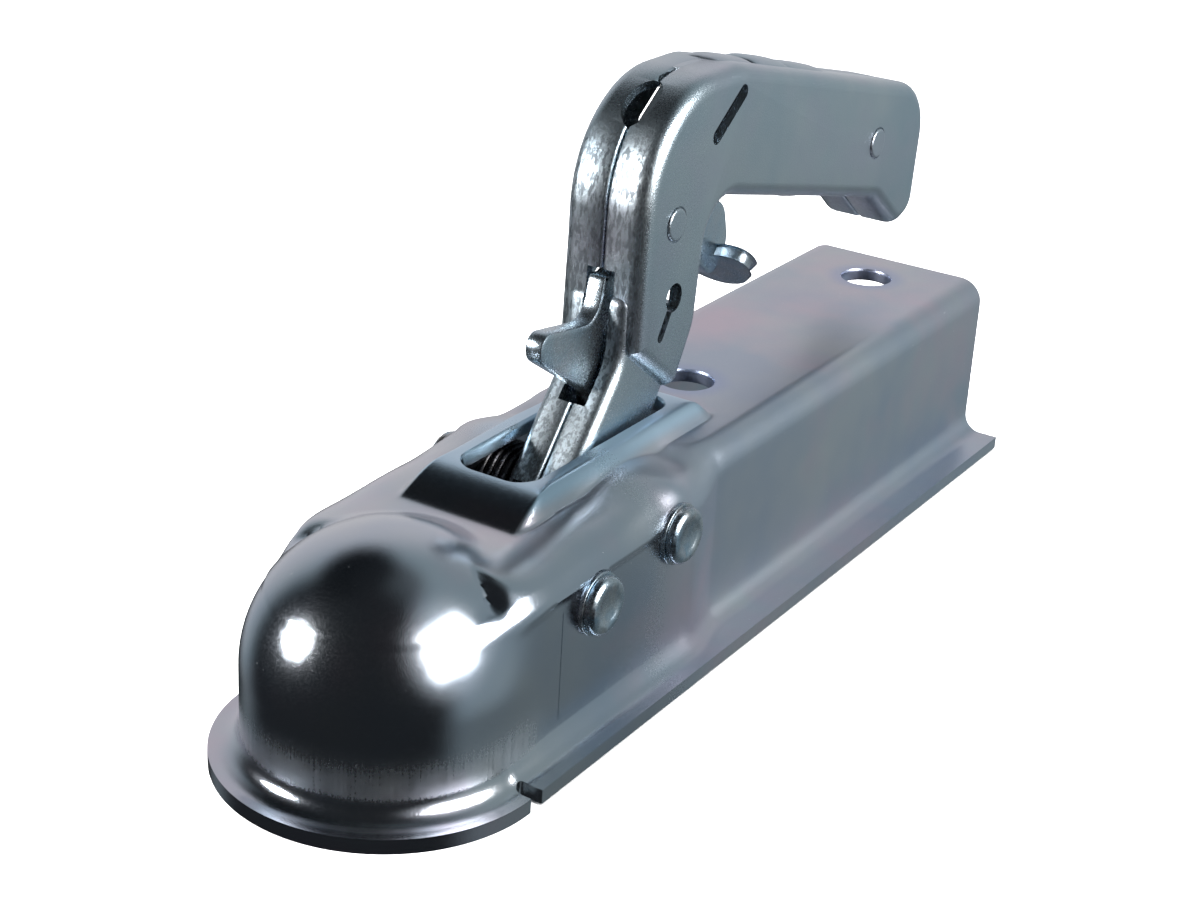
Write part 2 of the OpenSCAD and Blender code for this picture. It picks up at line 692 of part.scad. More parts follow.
// The latch: a thick plate with a nose in front, a toe inside the neck and a lobe behind the arm
// that carries the finger rest.
module latch_outline() {
    f = arm_front;
    z = arm_foot;
    polygon(rounded([
        [f + 1.5, z + 16.5, 1.2], [f - 3, z + 14, 3], [f - 5, z + 33, 8], [f - 20, z + 32, 6],
        [f - 36, z + 21.5, 8], [f - 46, z + 22, 6], [f - 49.5, z + 10, 6], [f - 43, z + 4, 3],
        [f - 30, z + 14, 8], [f - 14, z + 14, 10], [f - 6.5, z - 6, 6], [f - 0.5, z - 17.5, 1],
        [f + 3.5, z - 18, 1], [f + 4.5, z - 8.5, 3], [f + 23.8, z + 4, 3.5], [f + 24, z + 9.8, 3],
        [f + 4, z + 6.8, 5]], 4));
}

// Finger rest: a crescent across the lobe, leaning forward, with both ends turned up.
module finger_rest() {
    half = rest_w / 2;
    arm = [[0, rest_l, 8], [half * 0.6, rest_l * 0.8, 8], [half, rest_l * 0.36, 2.5], [half, 0, 2.5],
        [half * 0.5, 0, 6]];
    translate([arm_front - 41.5, 0, arm_foot + 9.5]) rotate([0, -rest_slope, 0]) mirror([1, 0, 0])
        linear_extrude(height = 0.75 * latch_t) polygon(rounded(concat([for (q = arm) [q[1], q[0], q[2]]],
            [[rest_l * 0.2, 0, 8]], [for (i = [4 : -1 : 1]) [arm[i][1], -arm[i][0], arm[i][2]]]), 4));
}

module safety_latch() {
    color(zinc) difference() {
        union() {
            slab(-latch_t / 2, latch_t / 2) latch_outline();
            finger_rest();
        }
        cross_rod(latch_at, rivet_d / 2 + run_gap, -latch_t, latch_t);
    }
}

// Latch spring: a coil round the right spacer, one leg on the shell and one on the latch.
module latch_spring() {
    r = rivet_d / 2 + 1.5 + latch_wire / 2 + 0.4;
    y0 = latch_t / 2 + latch_wire;
    at = latch_at;
    color(spring_steel) mirror([0, 1, 0]) wire(coil_path(at, r, y0, y0 + 3 * (latch_wire + 0.2), 3.25, 180,
        [at[0] - r, y0 - 0.2, at[2] - 12], [at[0] + 6, y0 + 3.2 * (latch_wire + 0.2), at[2] + r]), latch_wire);
}

housing();
jaw_pin();
jaw_pin_washers();
handle_pin();
handle_pin_washers();
jaw_spacers();
jaw();
jaw_spring_left();
jaw_spring_right();
handle_spacers();
lock_sector();
main_spring_left();
main_spring_right();
handle_shell_left();
handle_shell_right();
cam_plate_left();
cam_plate_right();
latch_rivet();
latch_spacers();
grip_rivet();
grip_spacer();
safety_latch();
latch_spring();
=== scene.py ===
import json
import math

import bmesh
import bpy
import numpy as np
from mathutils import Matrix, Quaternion, Vector


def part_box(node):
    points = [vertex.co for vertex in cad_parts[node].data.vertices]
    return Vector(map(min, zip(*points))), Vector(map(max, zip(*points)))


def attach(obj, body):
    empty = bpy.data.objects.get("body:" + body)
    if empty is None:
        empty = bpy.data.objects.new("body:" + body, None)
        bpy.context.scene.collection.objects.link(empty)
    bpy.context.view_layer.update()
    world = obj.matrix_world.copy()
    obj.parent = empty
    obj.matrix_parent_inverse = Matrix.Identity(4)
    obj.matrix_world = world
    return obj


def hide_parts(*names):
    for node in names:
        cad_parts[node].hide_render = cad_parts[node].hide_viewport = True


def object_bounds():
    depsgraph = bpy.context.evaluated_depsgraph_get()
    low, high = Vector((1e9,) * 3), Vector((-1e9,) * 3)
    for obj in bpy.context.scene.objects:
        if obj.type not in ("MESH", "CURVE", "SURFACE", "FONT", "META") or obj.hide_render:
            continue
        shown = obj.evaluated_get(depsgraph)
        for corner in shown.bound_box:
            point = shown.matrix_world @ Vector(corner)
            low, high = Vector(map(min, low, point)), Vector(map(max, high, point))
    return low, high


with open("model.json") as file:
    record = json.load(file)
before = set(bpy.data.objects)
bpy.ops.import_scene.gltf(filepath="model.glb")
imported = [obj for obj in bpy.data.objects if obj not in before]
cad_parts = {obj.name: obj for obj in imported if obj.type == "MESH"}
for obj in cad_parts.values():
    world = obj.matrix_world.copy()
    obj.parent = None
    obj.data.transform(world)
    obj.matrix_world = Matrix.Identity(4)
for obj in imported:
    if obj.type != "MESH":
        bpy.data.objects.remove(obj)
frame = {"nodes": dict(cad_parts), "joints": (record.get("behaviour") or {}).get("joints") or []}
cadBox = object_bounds()
mm = 0.001
print("frame loaded")

# Joint positions in millimetres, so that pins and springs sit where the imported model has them.
pivots = {j["name"]: np.array(j["pos_m"]) / mm for j in frame["joints"]}
jawPin = pivots["jaw_hinge"]
handlePin = pivots["handle_hinge"]
latchPin = pivots["latch_hinge"]


# The room is read off the dome, which mirrors it: dark in front, grey behind, palest at the rear.
studio = {
    "cameraPlace": (288.745, 220.016, 205.903),  # millimetres, as is the aim
    "cameraAim": (-107.872, -20.982, 0.0),
    "cameraRoll": 3.378,  # degrees
    "lens": 65.593,
    "filmWidth": 36,
    "nearest": 0.01,  # metres
    "darkRoom": "#25282b",
    # Turn and rise in degrees, the cosines between which the wall fades in, its tone.
    "walls": {
        "back": (180, 0, -0.22, 0.18, "#99a6ab"),
        "rear": (-142, 8, 0.55, 0.98, "#d8d6da"),
        "lampEdge": (94, 27, 0.76, 0.97, "#e6ebee"),
        "darkCorner": (-95, 64, 0.87, 0.95, "#191c1f"),
        "underRear": (-143, -40, 0.82, 0.95, "#2b2f33"),
    },
    # Height of the direction where the walls end, above and below, and what is left of them there.
    "wallEnds": ((0.97, 0.87, 0.25), (-0.52, -0.28, 0.45)),
    "floorSize": 9.0,  # metres
    "floorTone": "#f6f6f6",
    "floorRough": 0.9,
    "lampAim": (-60, 0, 20),
    # Turn and rise in degrees, size and distance in metres, power, and whether the metal mirrors it.
    "lamps": {
        "lampFrontRight": (-43, 17, (0.19, 0.19), 1.3, 22, True),
        "lampLeft": (92, 27, (0.9, 0.75), 1.3, 24, True),
        "fillAbove": (0, 88, (3, 3), 2.2, 190, False),
    },
}


def direction(turn, rise):
    t, r = math.radians(turn), math.radians(rise)
    return Vector((math.cos(t) * math.cos(r), math.sin(t) * math.cos(r), math.sin(r)))


def linear(hexColour):
    channels = [int(hexColour[i:i + 2], 16) / 255 for i in (1, 3, 5)]
    return [c / 12.92 if c <= 0.04045 else ((c + 0.055) / 1.055) ** 2.4 for c in channels] + [1.0]


def addNode(tree, kind, inputs, output=0, **settings):
    # Adds a node, sets it, links or fills its inputs, and gives back the output that is asked for.
    node = tree.nodes.new(kind)
    for name, value in settings.items():
        setattr(node, name, value)
    for socket, value in inputs.items():
        if isinstance(value, bpy.types.NodeSocket):
            tree.links.new(value, node.inputs[socket])
        else:
            node.inputs[socket].default_value = value
    return node.outputs[output] if len(node.outputs) else None


# Settings that many nodes share: a mix of two colours (share in 0, colours in 6 and 7), and a soft fade.
twoColours = {"output": 2, "data_type": "RGBA"}
softFade = {"interpolation_type": "SMOOTHSTEP"}


def addCamera():
    data = bpy.data.cameras.new("camera")
    data.lens = studio["lens"]
    data.sensor_width = studio["filmWidth"]
    data.clip_start = studio["nearest"]
    camera = bpy.data.objects.new("camera", data)
    place = Vector(studio["cameraPlace"]) * mm
    aim = Vector(studio["cameraAim"]) * mm
    turn = (aim - place).to_track_quat("-Z", "Y")
    camera.location = place
    camera.rotation_mode = "QUATERNION"
    camera.rotation_quaternion = turn @ Quaternion((0, 0, 1), math.radians(studio["cameraRoll"]))
    bpy.context.scene.collection.objects.link(camera)
    bpy.context.scene.camera = camera


def addLamps():
    centre = Vector(studio["lampAim"]) * mm
    for name, (turn, rise, size, away, power, inGloss) in studio["lamps"].items():
        data = bpy.data.lights.new(name, "AREA")
        data.shape = "RECTANGLE"
        data.size, data.size_y = size
        data.energy = power
        box = bpy.data.objects.new(name, data)
        box.location = centre + direction(turn, rise) * away
        box.rotation_euler = (centre - box.location).to_track_quat("-Z", "Y").to_euler()
        box.visible_glossy = inGloss
        bpy.context.scene.collection.objects.link(box)


def addRoom():
    world = bpy.data.worlds.new("studio")
    bpy.context.scene.world = world
    world.use_nodes = True
    tree = world.node_tree
    tree.nodes.clear()
    look = addNode(tree, "ShaderNodeTexCoord", {}, "Generated")
    height = addNode(tree, "ShaderNodeSeparateXYZ", {0: look}, "Z")
    dark = linear(studio["darkRoom"])
    colour = dark
    for turn, rise, start, end, tone in studio["walls"].values():
        towards = addNode(tree, "ShaderNodeVectorMath", {0: look, 1: direction(turn, rise)}, "Value",
                          operation="DOT_PRODUCT")
        share = addNode(tree, "ShaderNodeMapRange", {"Value": towards, "From Min": start, "From Max": end},
                        **softFade)
        colour = addNode(tree, "ShaderNodeMix", {0: share, 6: colour, 7: linear(tone)}, **twoColours)
    for start, end, left in studio["wallEnds"]:
        share = addNode(tree, "ShaderNodeMapRange", {"Value": height, "From Min": start, "From Max": end,
                        "To Min": left}, **softFade)
        colour = addNode(tree, "ShaderNodeMix", {0: share, 6: dark, 7: colour}, **twoColours)
    glow = addNode(tree, "ShaderNodeBackground", {"Color": colour, "Strength": 1.0})
    addNode(tree, "ShaderNodeOutputWorld", {"Surface": glow})


def addFloor():
    bpy.ops.mesh.primitive_plane_add(size=studio["floorSize"], location=(0, 0, cadBox[0][2]))
    floor = bpy.context.object
    floor.name = "paleFloor"
    paper = bpy.data.materials.new("matt white paper")
    paper.use_nodes = True
    shader = paper.node_tree.nodes["Principled BSDF"]
    shader.inputs["Base Color"].default_value = linear(studio["floorTone"])
    shader.inputs["Roughness"].default_value = studio["floorRough"]
    floor.data.materials.append(paper)
    floor.visible_glossy = False  # plating mirrors the room, as in a cut-out studio shot


addCamera()
addRoom()
addFloor()
addLamps()
bpy.context.scene.view_settings.view_transform = "Standard"
print("studio ready")


def newMaterial(name):
    material = bpy.data.materials.new(name)
    material.use_nodes = True
    tree = material.node_tree
    tree.nodes.clear()
    return material, tree


def grain(tree, place, size, stretch=(1, 1, 1), detail=3.0, low=0.0, high=1.0, start=0.35, end=0.65):
    # A noise whose blotches measure about size millimetres, spread from low to high.
    scaled = addNode(tree, "ShaderNodeMapping", {"Vector": place, "Scale": stretch})
    noise = addNode(tree, "ShaderNodeTexNoise", {"Vector": scaled, "Scale": 1 / (size * mm),
                    "Detail": detail, "Roughness": 0.6}, "Fac")
    return addNode(tree, "ShaderNodeMapRange", {"Value": noise, "From Min": start, "From Max": end,
                   "To Min": low, "To Max": high})


def region(tree, place, fades):
    # 1 in one part of the object and 0 away from it. A fade is an axis, its empty end and its full end.
    share = 1.0
    for axis, empty, full in fades:
        along = addNode(tree, "ShaderNodeSeparateXYZ", {"Vector": place}, axis)
        fade = addNode(tree, "ShaderNodeMapRange", {"Value": along, "From Min": empty * mm,
                       "From Max": full * mm}, **softFade)
        share = addNode(tree, "ShaderNodeMath", {0: share, 1: fade}, operation="MULTIPLY")
    return share


def metalSurface(tree, colour, rough, relief, strength, depth):
    bump = addNode(tree, "ShaderNodeBump", {"Height": relief, "Strength": strength, "Distance": depth * mm})
    shader = addNode(tree, "ShaderNodeBsdfPrincipled", {"Base Color": colour, "Roughness": rough,
                     "Metallic": 1.0, "Normal": bump})
    addNode(tree, "ShaderNodeOutputMaterial", {"Surface": shader})


def platedSheet(name, look):
    # Bright zinc plating is a mirror under a fine matt grain, with a thin film whose blue and pink drift
    # over the part. The real grain is finer than a pixel, so it is drawn as coarse as it needs to show.
    material, tree = newMaterial(name)
    place = addNode(tree, "ShaderNodeTexCoord", {}, "Object")
    colour = linear(look["zinc"])
    along = addNode(tree, "ShaderNodeSeparateXYZ", {"Vector": place}, "X")
    rough = addNode(tree, "ShaderNodeMapRange", {
        "Value": along, "From Min": look["mattFrom"] * mm, "From Max": look["shinyFrom"] * mm,
        "To Min": look["mattRough"], "To Max": look["shinyRough"]}, **softFade)
    speckle = grain(tree, place, look["grainSize"] * look["speckle"], low=-look["grainRough"],
                    high=look["grainRough"])
    rough = addNode(tree, "ShaderNodeMath", {0: rough, 1: speckle}, operation="ADD")

    def lay(share, tone=None, cover=1.0, roughen=0.0):
        # Lays one more film or mark over what is there: its colour, and what it does to the gloss.
        nonlocal colour, rough
        if tone:
            part = addNode(tree, "ShaderNodeMath", {0: share, 1: cover}, operation="MULTIPLY")
            colour = addNode(tree, "ShaderNodeMix", {0: part, 6: colour, 7: linear(tone)}, **twoColours)
        if roughen:
            part = addNode(tree, "ShaderNodeMath", {0: share, 1: roughen}, operation="MULTIPLY")
            rough = addNode(tree, "ShaderNodeMath", {0: rough, 1: part}, operation="ADD")

    lay(grain(tree, place, look["filmSize"]), look["blueFilm"])
    elsewhere = addNode(tree, "ShaderNodeMapping", {"Vector": place, "Location": look["pinkShift"]})
    start, end = look["pinkSpan"]
    lay(grain(tree, elsewhere, look["filmSize"] * look["pinkSize"], start=start, end=end), look["pinkFilm"])
    if "halo" in look:
        # The film turns blue and violet round the bolt holes, where the plating current was strongest.
        halo = look["halo"]
        flat = addNode(tree, "ShaderNodeVectorMath", {0: place, 1: (1, 1, 0)}, operation="MULTIPLY")
        spans = [addNode(tree, "ShaderNodeVectorMath", {0: flat, 1: (x * mm, 0, 0)}, "Value",
                         operation="DISTANCE") for x in halo["at"]]
        near = addNode(tree, "ShaderNodeMath", dict(enumerate(spans)), operation="MINIMUM")
        ring = addNode(tree, "ShaderNodeMapRange", {"Value": near, "From Min": halo["gone"] * mm,
                       "From Max": halo["full"] * mm}, **softFade)
        lay(ring, halo["tone"], halo["cover"])
    if "collar" in look:
        lay(region(tree, place, look["collar"]["fades"]), look["collar"]["tone"])
    if "brushed" in look:
        # The draw ring left upright streaks round the foot of the dome.
        brushed = look["brushed"]
        streaks = grain(tree, place, brushed["size"], brushed["stretch"], detail=2.0, low=brushed["least"])
        share = addNode(tree, "ShaderNodeMath", {0: region(tree, place, brushed["fades"]), 1: streaks},
                        operation="MULTIPLY")
        lay(share, roughen=brushed["roughen"])
    if "split" in look:
        # Stretching over the die broke the zinc open on the faces that look forward.
        split = look["split"]
        facing = addNode(tree, "ShaderNodeSeparateXYZ", {"Vector": place.node.outputs["Normal"]}, "X")
        bent = addNode(tree, "ShaderNodeMapRange", {"Value": facing, "From Min": split["facing"][0],
                       "From Max": split["facing"][1]}, **softFade)
        lower = addNode(tree, "ShaderNodeMath", {0: bent, 1: region(tree, place, split["fades"])},
                        operation="MULTIPLY")
        start, end = split["span"]
        smears = grain(tree, place, split["size"], split["stretch"], detail=8.0, start=start, end=end)
        share = addNode(tree, "ShaderNodeMath", {0: lower, 1: smears}, operation="MULTIPLY")
        lay(share, split["tone"], split["cover"], split["roughen"])
        lay(bent, roughen=split["dull"])
    start, end = look["chipSpan"]
    chips = grain(tree, place, look["chipSize"], detail=1.0, start=start, end=end)
    lay(chips, look["chipTone"], look["chips"], look["chips"] * look["chipDull"])
    relief = grain(tree, place, look["grainSize"], detail=2.0)
    metalSurface(tree, colour, rough, relief, look["bump"], look["depth"])
    return material


def oiledSteel(name, look):
    # Cut or cast steel under a thin oil film: dark, with soft broad highlights.
    material, tree = newMaterial(name)
    place = addNode(tree, "ShaderNodeTexCoord", {}, "Object")
    blotches = grain(tree, place, look["oilSize"])
    colour = addNode(tree, "ShaderNodeMix", {0: blotches, 6: linear(look["steel"]), 7: linear(look["oil"])},
                     **twoColours)
    rough = grain(tree, place, look["patchSize"], low=look["rough"] - look["patchRough"],
                  high=look["rough"] + look["patchRough"])
    metalSurface(tree, colour, rough, grain(tree, place, look["grainSize"]), look["bump"], look["depth"])
    return material


# What every zinc plated piece shares. Sizes and depths are in millimetres, and a span gives the values of
# the noise between which a mark appears. The pink film is the blue one's noise again, read elsewhere.
zincMarks = {
    "grainRough": 0.03, "speckle": 1.6, "depth": 0.05,
    "pinkShift": (0.31, 0.17, 0.23), "pinkSize": 0.8, "pinkSpan": (0.48, 0.74),
    "chipSize": 0.9, "chipSpan": (0.78, 0.82), "chipTone": "#f2f4f6", "chipDull": 0.3,
}
# Deep drawn sheet: the die polished the dome to a mirror, and the channel behind it stayed satin.
drawnSheet = {
    **zincMarks, "zinc": "#c4c8cc", "blueFilm": "#b0bac8", "pinkFilm": "#cbbfca", "filmSize": 46,
    "grainSize": 0.24, "bump": 0.17, "chips": 0.4,
    "mattFrom": -66, "shinyFrom": -30, "mattRough": 0.34, "shinyRough": 0.14,
    "halo": {"at": (-107.5, -197.5), "full": 6.4, "gone": 11.5, "tone": "#9aa8cc", "cover": 0.5},
    # The collar round the slot carries a bluer film.
    "collar": {"fades": (("Z", 24.2, 26.6), ("X", -17, -21)), "tone": "#bcd2e2"},
    "brushed": {"fades": (("Z", -1.5, -10.0), ("Z", -14.5, -12), ("X", -16, -4)), "size": 0.45,
                "stretch": (1, 1, 0), "least": 0.6, "roughen": 0.26},
}
# Folded sheet: less stretched than the housing, so it is evenly satin, but torn and dark at the bend.
foldedSheet = {
    **zincMarks, "zinc": "#bfc8cd", "blueFilm": "#acbcc6", "pinkFilm": "#bcbfcb", "filmSize": 38,
    "grainSize": 0.26, "bump": 0.34, "chips": 0.35,
    "mattFrom": -110, "shinyFrom": -66, "mattRough": 0.33, "shinyRough": 0.25,
    "split": {"facing": (0.5, 0.85), "fades": (("Z", 92, 84),), "size": 0.9, "stretch": (1, 1, 0.32),
              "span": (0.46, 0.56), "tone": "#34383d", "cover": 0.8, "roughen": 0.12, "dull": 0.06},
}
# Cut plate: blanked and tumbled before plating, which leaves it evenly semi gloss.
cutPlate = {
    **zincMarks, "zinc": "#bcc8cf", "blueFilm": "#a8bac8", "pinkFilm": "#bfc0c4", "filmSize": 14,
    "grainSize": 0.26, "bump": 0.3, "chips": 0.35,
    "mattFrom": -110, "shinyFrom": -66, "mattRough": 0.3, "shinyRough": 0.27,
}
# Turned pins and washers: brighter, with tool marks under the zinc that show as a coarser grain.
turnedSteel = {
    **zincMarks, "zinc": "#b7bec2", "blueFilm": "#93a9b9", "pinkFilm": "#bdb7b4", "filmSize": 7,
    "grainSize": 0.5, "grainRough": 0.06, "bump": 0.2, "chips": 0.5,
    "mattFrom": -150, "shinyFrom": 0, "mattRough": 0.3, "shinyRough": 0.26,
}
# Bare steel inside the head: the cut one is matt under its oil, and the drawn wire is smooth and glossier.
cutSteel = {
    "steel": "#6a6b6d", "oil": "#4b4a48", "oilSize": 3.0, "rough": 0.42, "patchSize": 0.8, "patchRough": 0.08,
    "grainSize": 0.5, "bump": 0.25, "depth": 0.06,
}
drawnWire = {**cutSteel, "steel": "#5a5a5e", "rough": 0.3}

housingZinc = platedSheet("zinc plated drawn steel", drawnSheet)
handleZinc = platedSheet("zinc plated folded steel", foldedSheet)
latchZinc = platedSheet("zinc plated cut plate", cutPlate)
brightZinc = platedSheet("zinc plated turned steel", turnedSteel)
darkSteel = oiledSteel("oiled cut steel", cutSteel)
springWire = oiledSteel("drawn spring wire", drawnWire)
print("materials ready")


def ease(t):
    s = np.clip(t, 0, 1)
    return s * s * (3 - 2 * s)


def hump(x, middle, reach):
    return ease(1 - np.abs(x - middle) / reach)


def softMax(a, b, reach):
    near = np.maximum(reach - np.abs(a - b), 0) / np.maximum(reach, 1e-6)
    return np.maximum(a, b) + near * near * reach / 4


def meshObject(name, points, faces):
    mesh = bpy.data.meshes.new(name)
    mesh.from_pydata([tuple(p) for p in np.asarray(points, float) * mm], [], [tuple(f) for f in faces])
    work = bmesh.new()
    work.from_mesh(mesh)
    bmesh.ops.remove_doubles(work, verts=work.verts, dist=1e-7)
    bmesh.ops.recalc_face_normals(work, faces=work.faces)
    work.to_mesh(mesh)
    work.free()
    piece = bpy.data.objects.new(name, mesh)
    bpy.context.scene.collection.objects.link(piece)
    return piece


def bakeModifiers(piece):
    bpy.context.view_layer.update()
    shaped = piece.evaluated_get(bpy.context.evaluated_depsgraph_get())
    mesh = bpy.data.meshes.new_from_object(shaped)
    piece.modifiers.clear()
    piece.data = mesh


def combine(piece, others, operation="DIFFERENCE"):
    for other in others:
        step = piece.modifiers.new("combine", "BOOLEAN")
        step.operation = operation
        step.solver = "MANIFOLD"
        step.object = other
    bakeModifiers(piece)
    for other in others:
        bpy.data.objects.remove(other)


def finishPiece(piece, material, body, nodes, angle):
    # Edges sharper than angle, in degrees, stay crisp under the smooth shading.
    piece.data.materials.clear()
    piece.data.materials.append(material)
    piece.data.polygons.foreach_set("use_smooth", [True] * len(piece.data.polygons))
    piece.data.set_sharp_from_angle(angle=math.radians(angle))
    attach(piece, body)
    if nodes:
        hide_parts(*nodes)


def loftObject(name, rings):
    # Skins closed rings of the same count and caps both ends.
    count = len(rings[0])
    points = [q for ring in rings for q in ring]
    last = (len(rings) - 1) * count
    faces = [(k + i, k + (i + 1) % count, k + count + (i + 1) % count, k + count + i)
             for k in range(0, last, count) for i in range(count)]
    return meshObject(name, points, faces + [range(count), range(last, last + count)])


def circlePoints(radius, count=48, centre=(0, 0)):
    angles = np.arange(count) * 2 * math.pi / count
    return [(centre[0] + radius * math.cos(a), centre[1] + radius * math.sin(a)) for a in angles]


def turned(name, at, profile):
    # A turned piece about the line through at along y, from pairs of y and radius.
    return loftObject(name, [[(at[0] + q[0], y, at[2] + q[1]) for q in circlePoints(r, 64)]
                             for y, r in profile])


def prism(name, outline, y0, y1):
    # A plate in the X-Z plane between two values of y.
    count = len(outline)
    points = [(x, y, z) for y in (y0, y1) for x, z in outline]
    sides = [(i, (i + 1) % count, count + (i + 1) % count, count + i) for i in range(count)]
    return meshObject(name, points, sides + [range(count), range(count, 2 * count)])


def rod(name, at, radius, y0, y1):
    return prism(name, circlePoints(radius, centre=(at[0], at[2])), y0, y1)


def oblongPoints(a, b, radius, steps=14):
    # A slit with round ends, from the middle of one end to the middle of the other.
    a, b = np.array(a, float), np.array(b, float)
    turn = math.atan2(*(b - a)[::-1])
    halves = [(b, -90), (a, 90)]
    return [tuple(end + radius * np.array((math.cos(t), math.sin(t)))) for end, start in halves
            for t in turn + np.radians(start + np.arange(steps + 1) * 180 / steps)]


# The pressed housing, in millimetres. Distances along it are counted back from the middle of the ball.
pressing = {
    # The dome, the wider front behind it, the square channel, and the line that the wall is measured from.
    "dome": 27.75, "domeSheet": 2.6, "sheet": 3.0, "frontHalf": 28.0, "channelHalf": 25.0, "top": 23.5,
    "corner": 6.0, "crownHalf": 14.0, "end": 214.0, "centreHeight": -4.0,
    # How the dome turns into the front: lengths in millimetres, and angles round the arch in degrees.
    "noseBlend": 12, "flare": 14.0, "flareAngles": (38, 9), "tuck": 0.5, "tuckAngle": 10,
    "creaseRound": 2.2, "creaseBlend": 9, "creaseAngles": (30, 22),
    # How an edge drops towards the nose: depth, start, length and power.
    "shoulderDip": (17, 10, 12, 2.4), "crownDip": (14, 6, 8, 2), "panelDip": (2.5, 16, 13, 1.5),
    "frontFall": 1.1, "fallFrom": 16, "fallLength": 18,
    # Where the front narrows to the channel, and the bulge over the springs.
    "frontEnd": 68, "frontFade": 16, "waistFrom": 64.0, "waistTo": 79.5,
    "springRise": 2.0, "springAt": 55.5, "springReach": 17,
    # The flat panel pressed into each side wall, with the lengths over which it starts and ends.
    "panelTop": 15.0, "panelInset": 0.4, "panelFrom": (2, 12), "panelTo": (62, 5), "panelEdge": 0.9,
    "ringRadius": 33.75, "ringTop": -17.3, "ringSheet": 3.1, "flangeHalf": 34.2, "flangeTop": -16.8,
    "fillet": 4.5,
    # The slot for the handle and the collar raised round it. The collar's corner is a superellipse.
    "slotHalf": 9.0, "slotFront": 31.5, "slotRear": 86.0, "slotCorner": 5.0, "rim": 3.6,
    "slotRings": ((14, 0), (26.9, 0), (27.5, 0.15), (28.4, 0.9)),  # height, and how far the edge is rounded
    "collarHeight": 4.5, "collarSpread": 2.6, "rampLength": 10.6, "rampShift": 0.4, "rearSpread": 4.5,
    "collarPower": 2.6, "collarFull": 1.04, "rimRound": 0.3, "footRound": 0.09,
    "holeRadius": 6.25, "holes": (-107.5, -197.5),
    "holeRings": ((12, 0), (22.9, 0), (23.15, 0), (23.4, 0.07), (24.2, 0.6)),
    "boreRadius": 4.1, "seatRadius": 6.8,  # for the cross pins and their washers
    # The slit between the ring and the side flange, and the line scribed down the wall above it.
    "slit": 3.0, "slitDepth": 3.4, "slitSpan": (-25, -12.2),
    "scribe": -17.5, "scribeHalf": 0.12, "scribeDepth": 0.14, "scribeSpan": (-11, 12),
}
# Local marks of the press: distance behind the ball, angle round the section, height, reaches.
dents = [(60.0, 44.0, 0.9, 7.0, 12.0), (70.0, 55.0, -0.8, 6.0, 10.0), (47.0, 52.0, -0.35, 8.0, 9.0)]


def spread(*stretches):
    # Steps along several stretches: (start, end, step).
    values = [np.arange(a, b, (b - a) / max(1, round((b - a) / step)))[:round((b - a) / step)]
              for a, b, step in stretches]
    return np.append(np.concatenate(values), stretches[-1][1])


# Angles round the arch, widest apart low on the wall and closest near the crown, where the collar starts.
# Their steps change gently, because a sudden change shows as a line in the mirror of the dome.
even, crowding, widest = np.linspace(0, 1, 104), 0.42, 0.22
archAngles = even + crowding * np.sin(2 * math.pi * (even - widest)) / (2 * math.pi)
archAngles = 90 * (archAngles - archAngles[0]) / (archAngles[-1] - archAngles[0])
stations = spread((0, 100, 0.8), (100, pressing["end"], 5.0))


def softRamp(u, reach):
    return (u + np.sqrt(u * u + reach * reach)) / 2


def dip(d, depth, start, length, power):
    # How far an edge has dropped at a distance d behind the ball, on its way towards the nose.
    return depth * (max(0, start - d) / length) ** power


def collarShare(x, y, t):
    # 1 on the flat rim round the slot, falling to 0 at the foot of the collar, where the crease is tight.
    p = pressing
    side = (np.abs(y) - (p["slotHalf"] + p["rim"] - t)) / p["collarSpread"]
    front = (x + p["slotFront"] - p["rampShift"] + t) / p["rampLength"]
    rear = (-x - p["slotRear"] - p["rim"] + t) / p["rearSpread"]
    ends, power = np.maximum(front, rear), p["collarPower"]
    outside = (np.maximum(side, 0) ** power + np.maximum(ends, 0) ** power) ** (1 / power)
    far = outside + np.minimum(np.maximum(side, ends), 0)
    share = p["collarFull"] - softRamp(far, p["rimRound"]) + softRamp(far - 1, p["footRound"])
    return np.clip(share / p["collarFull"], 0, 1)


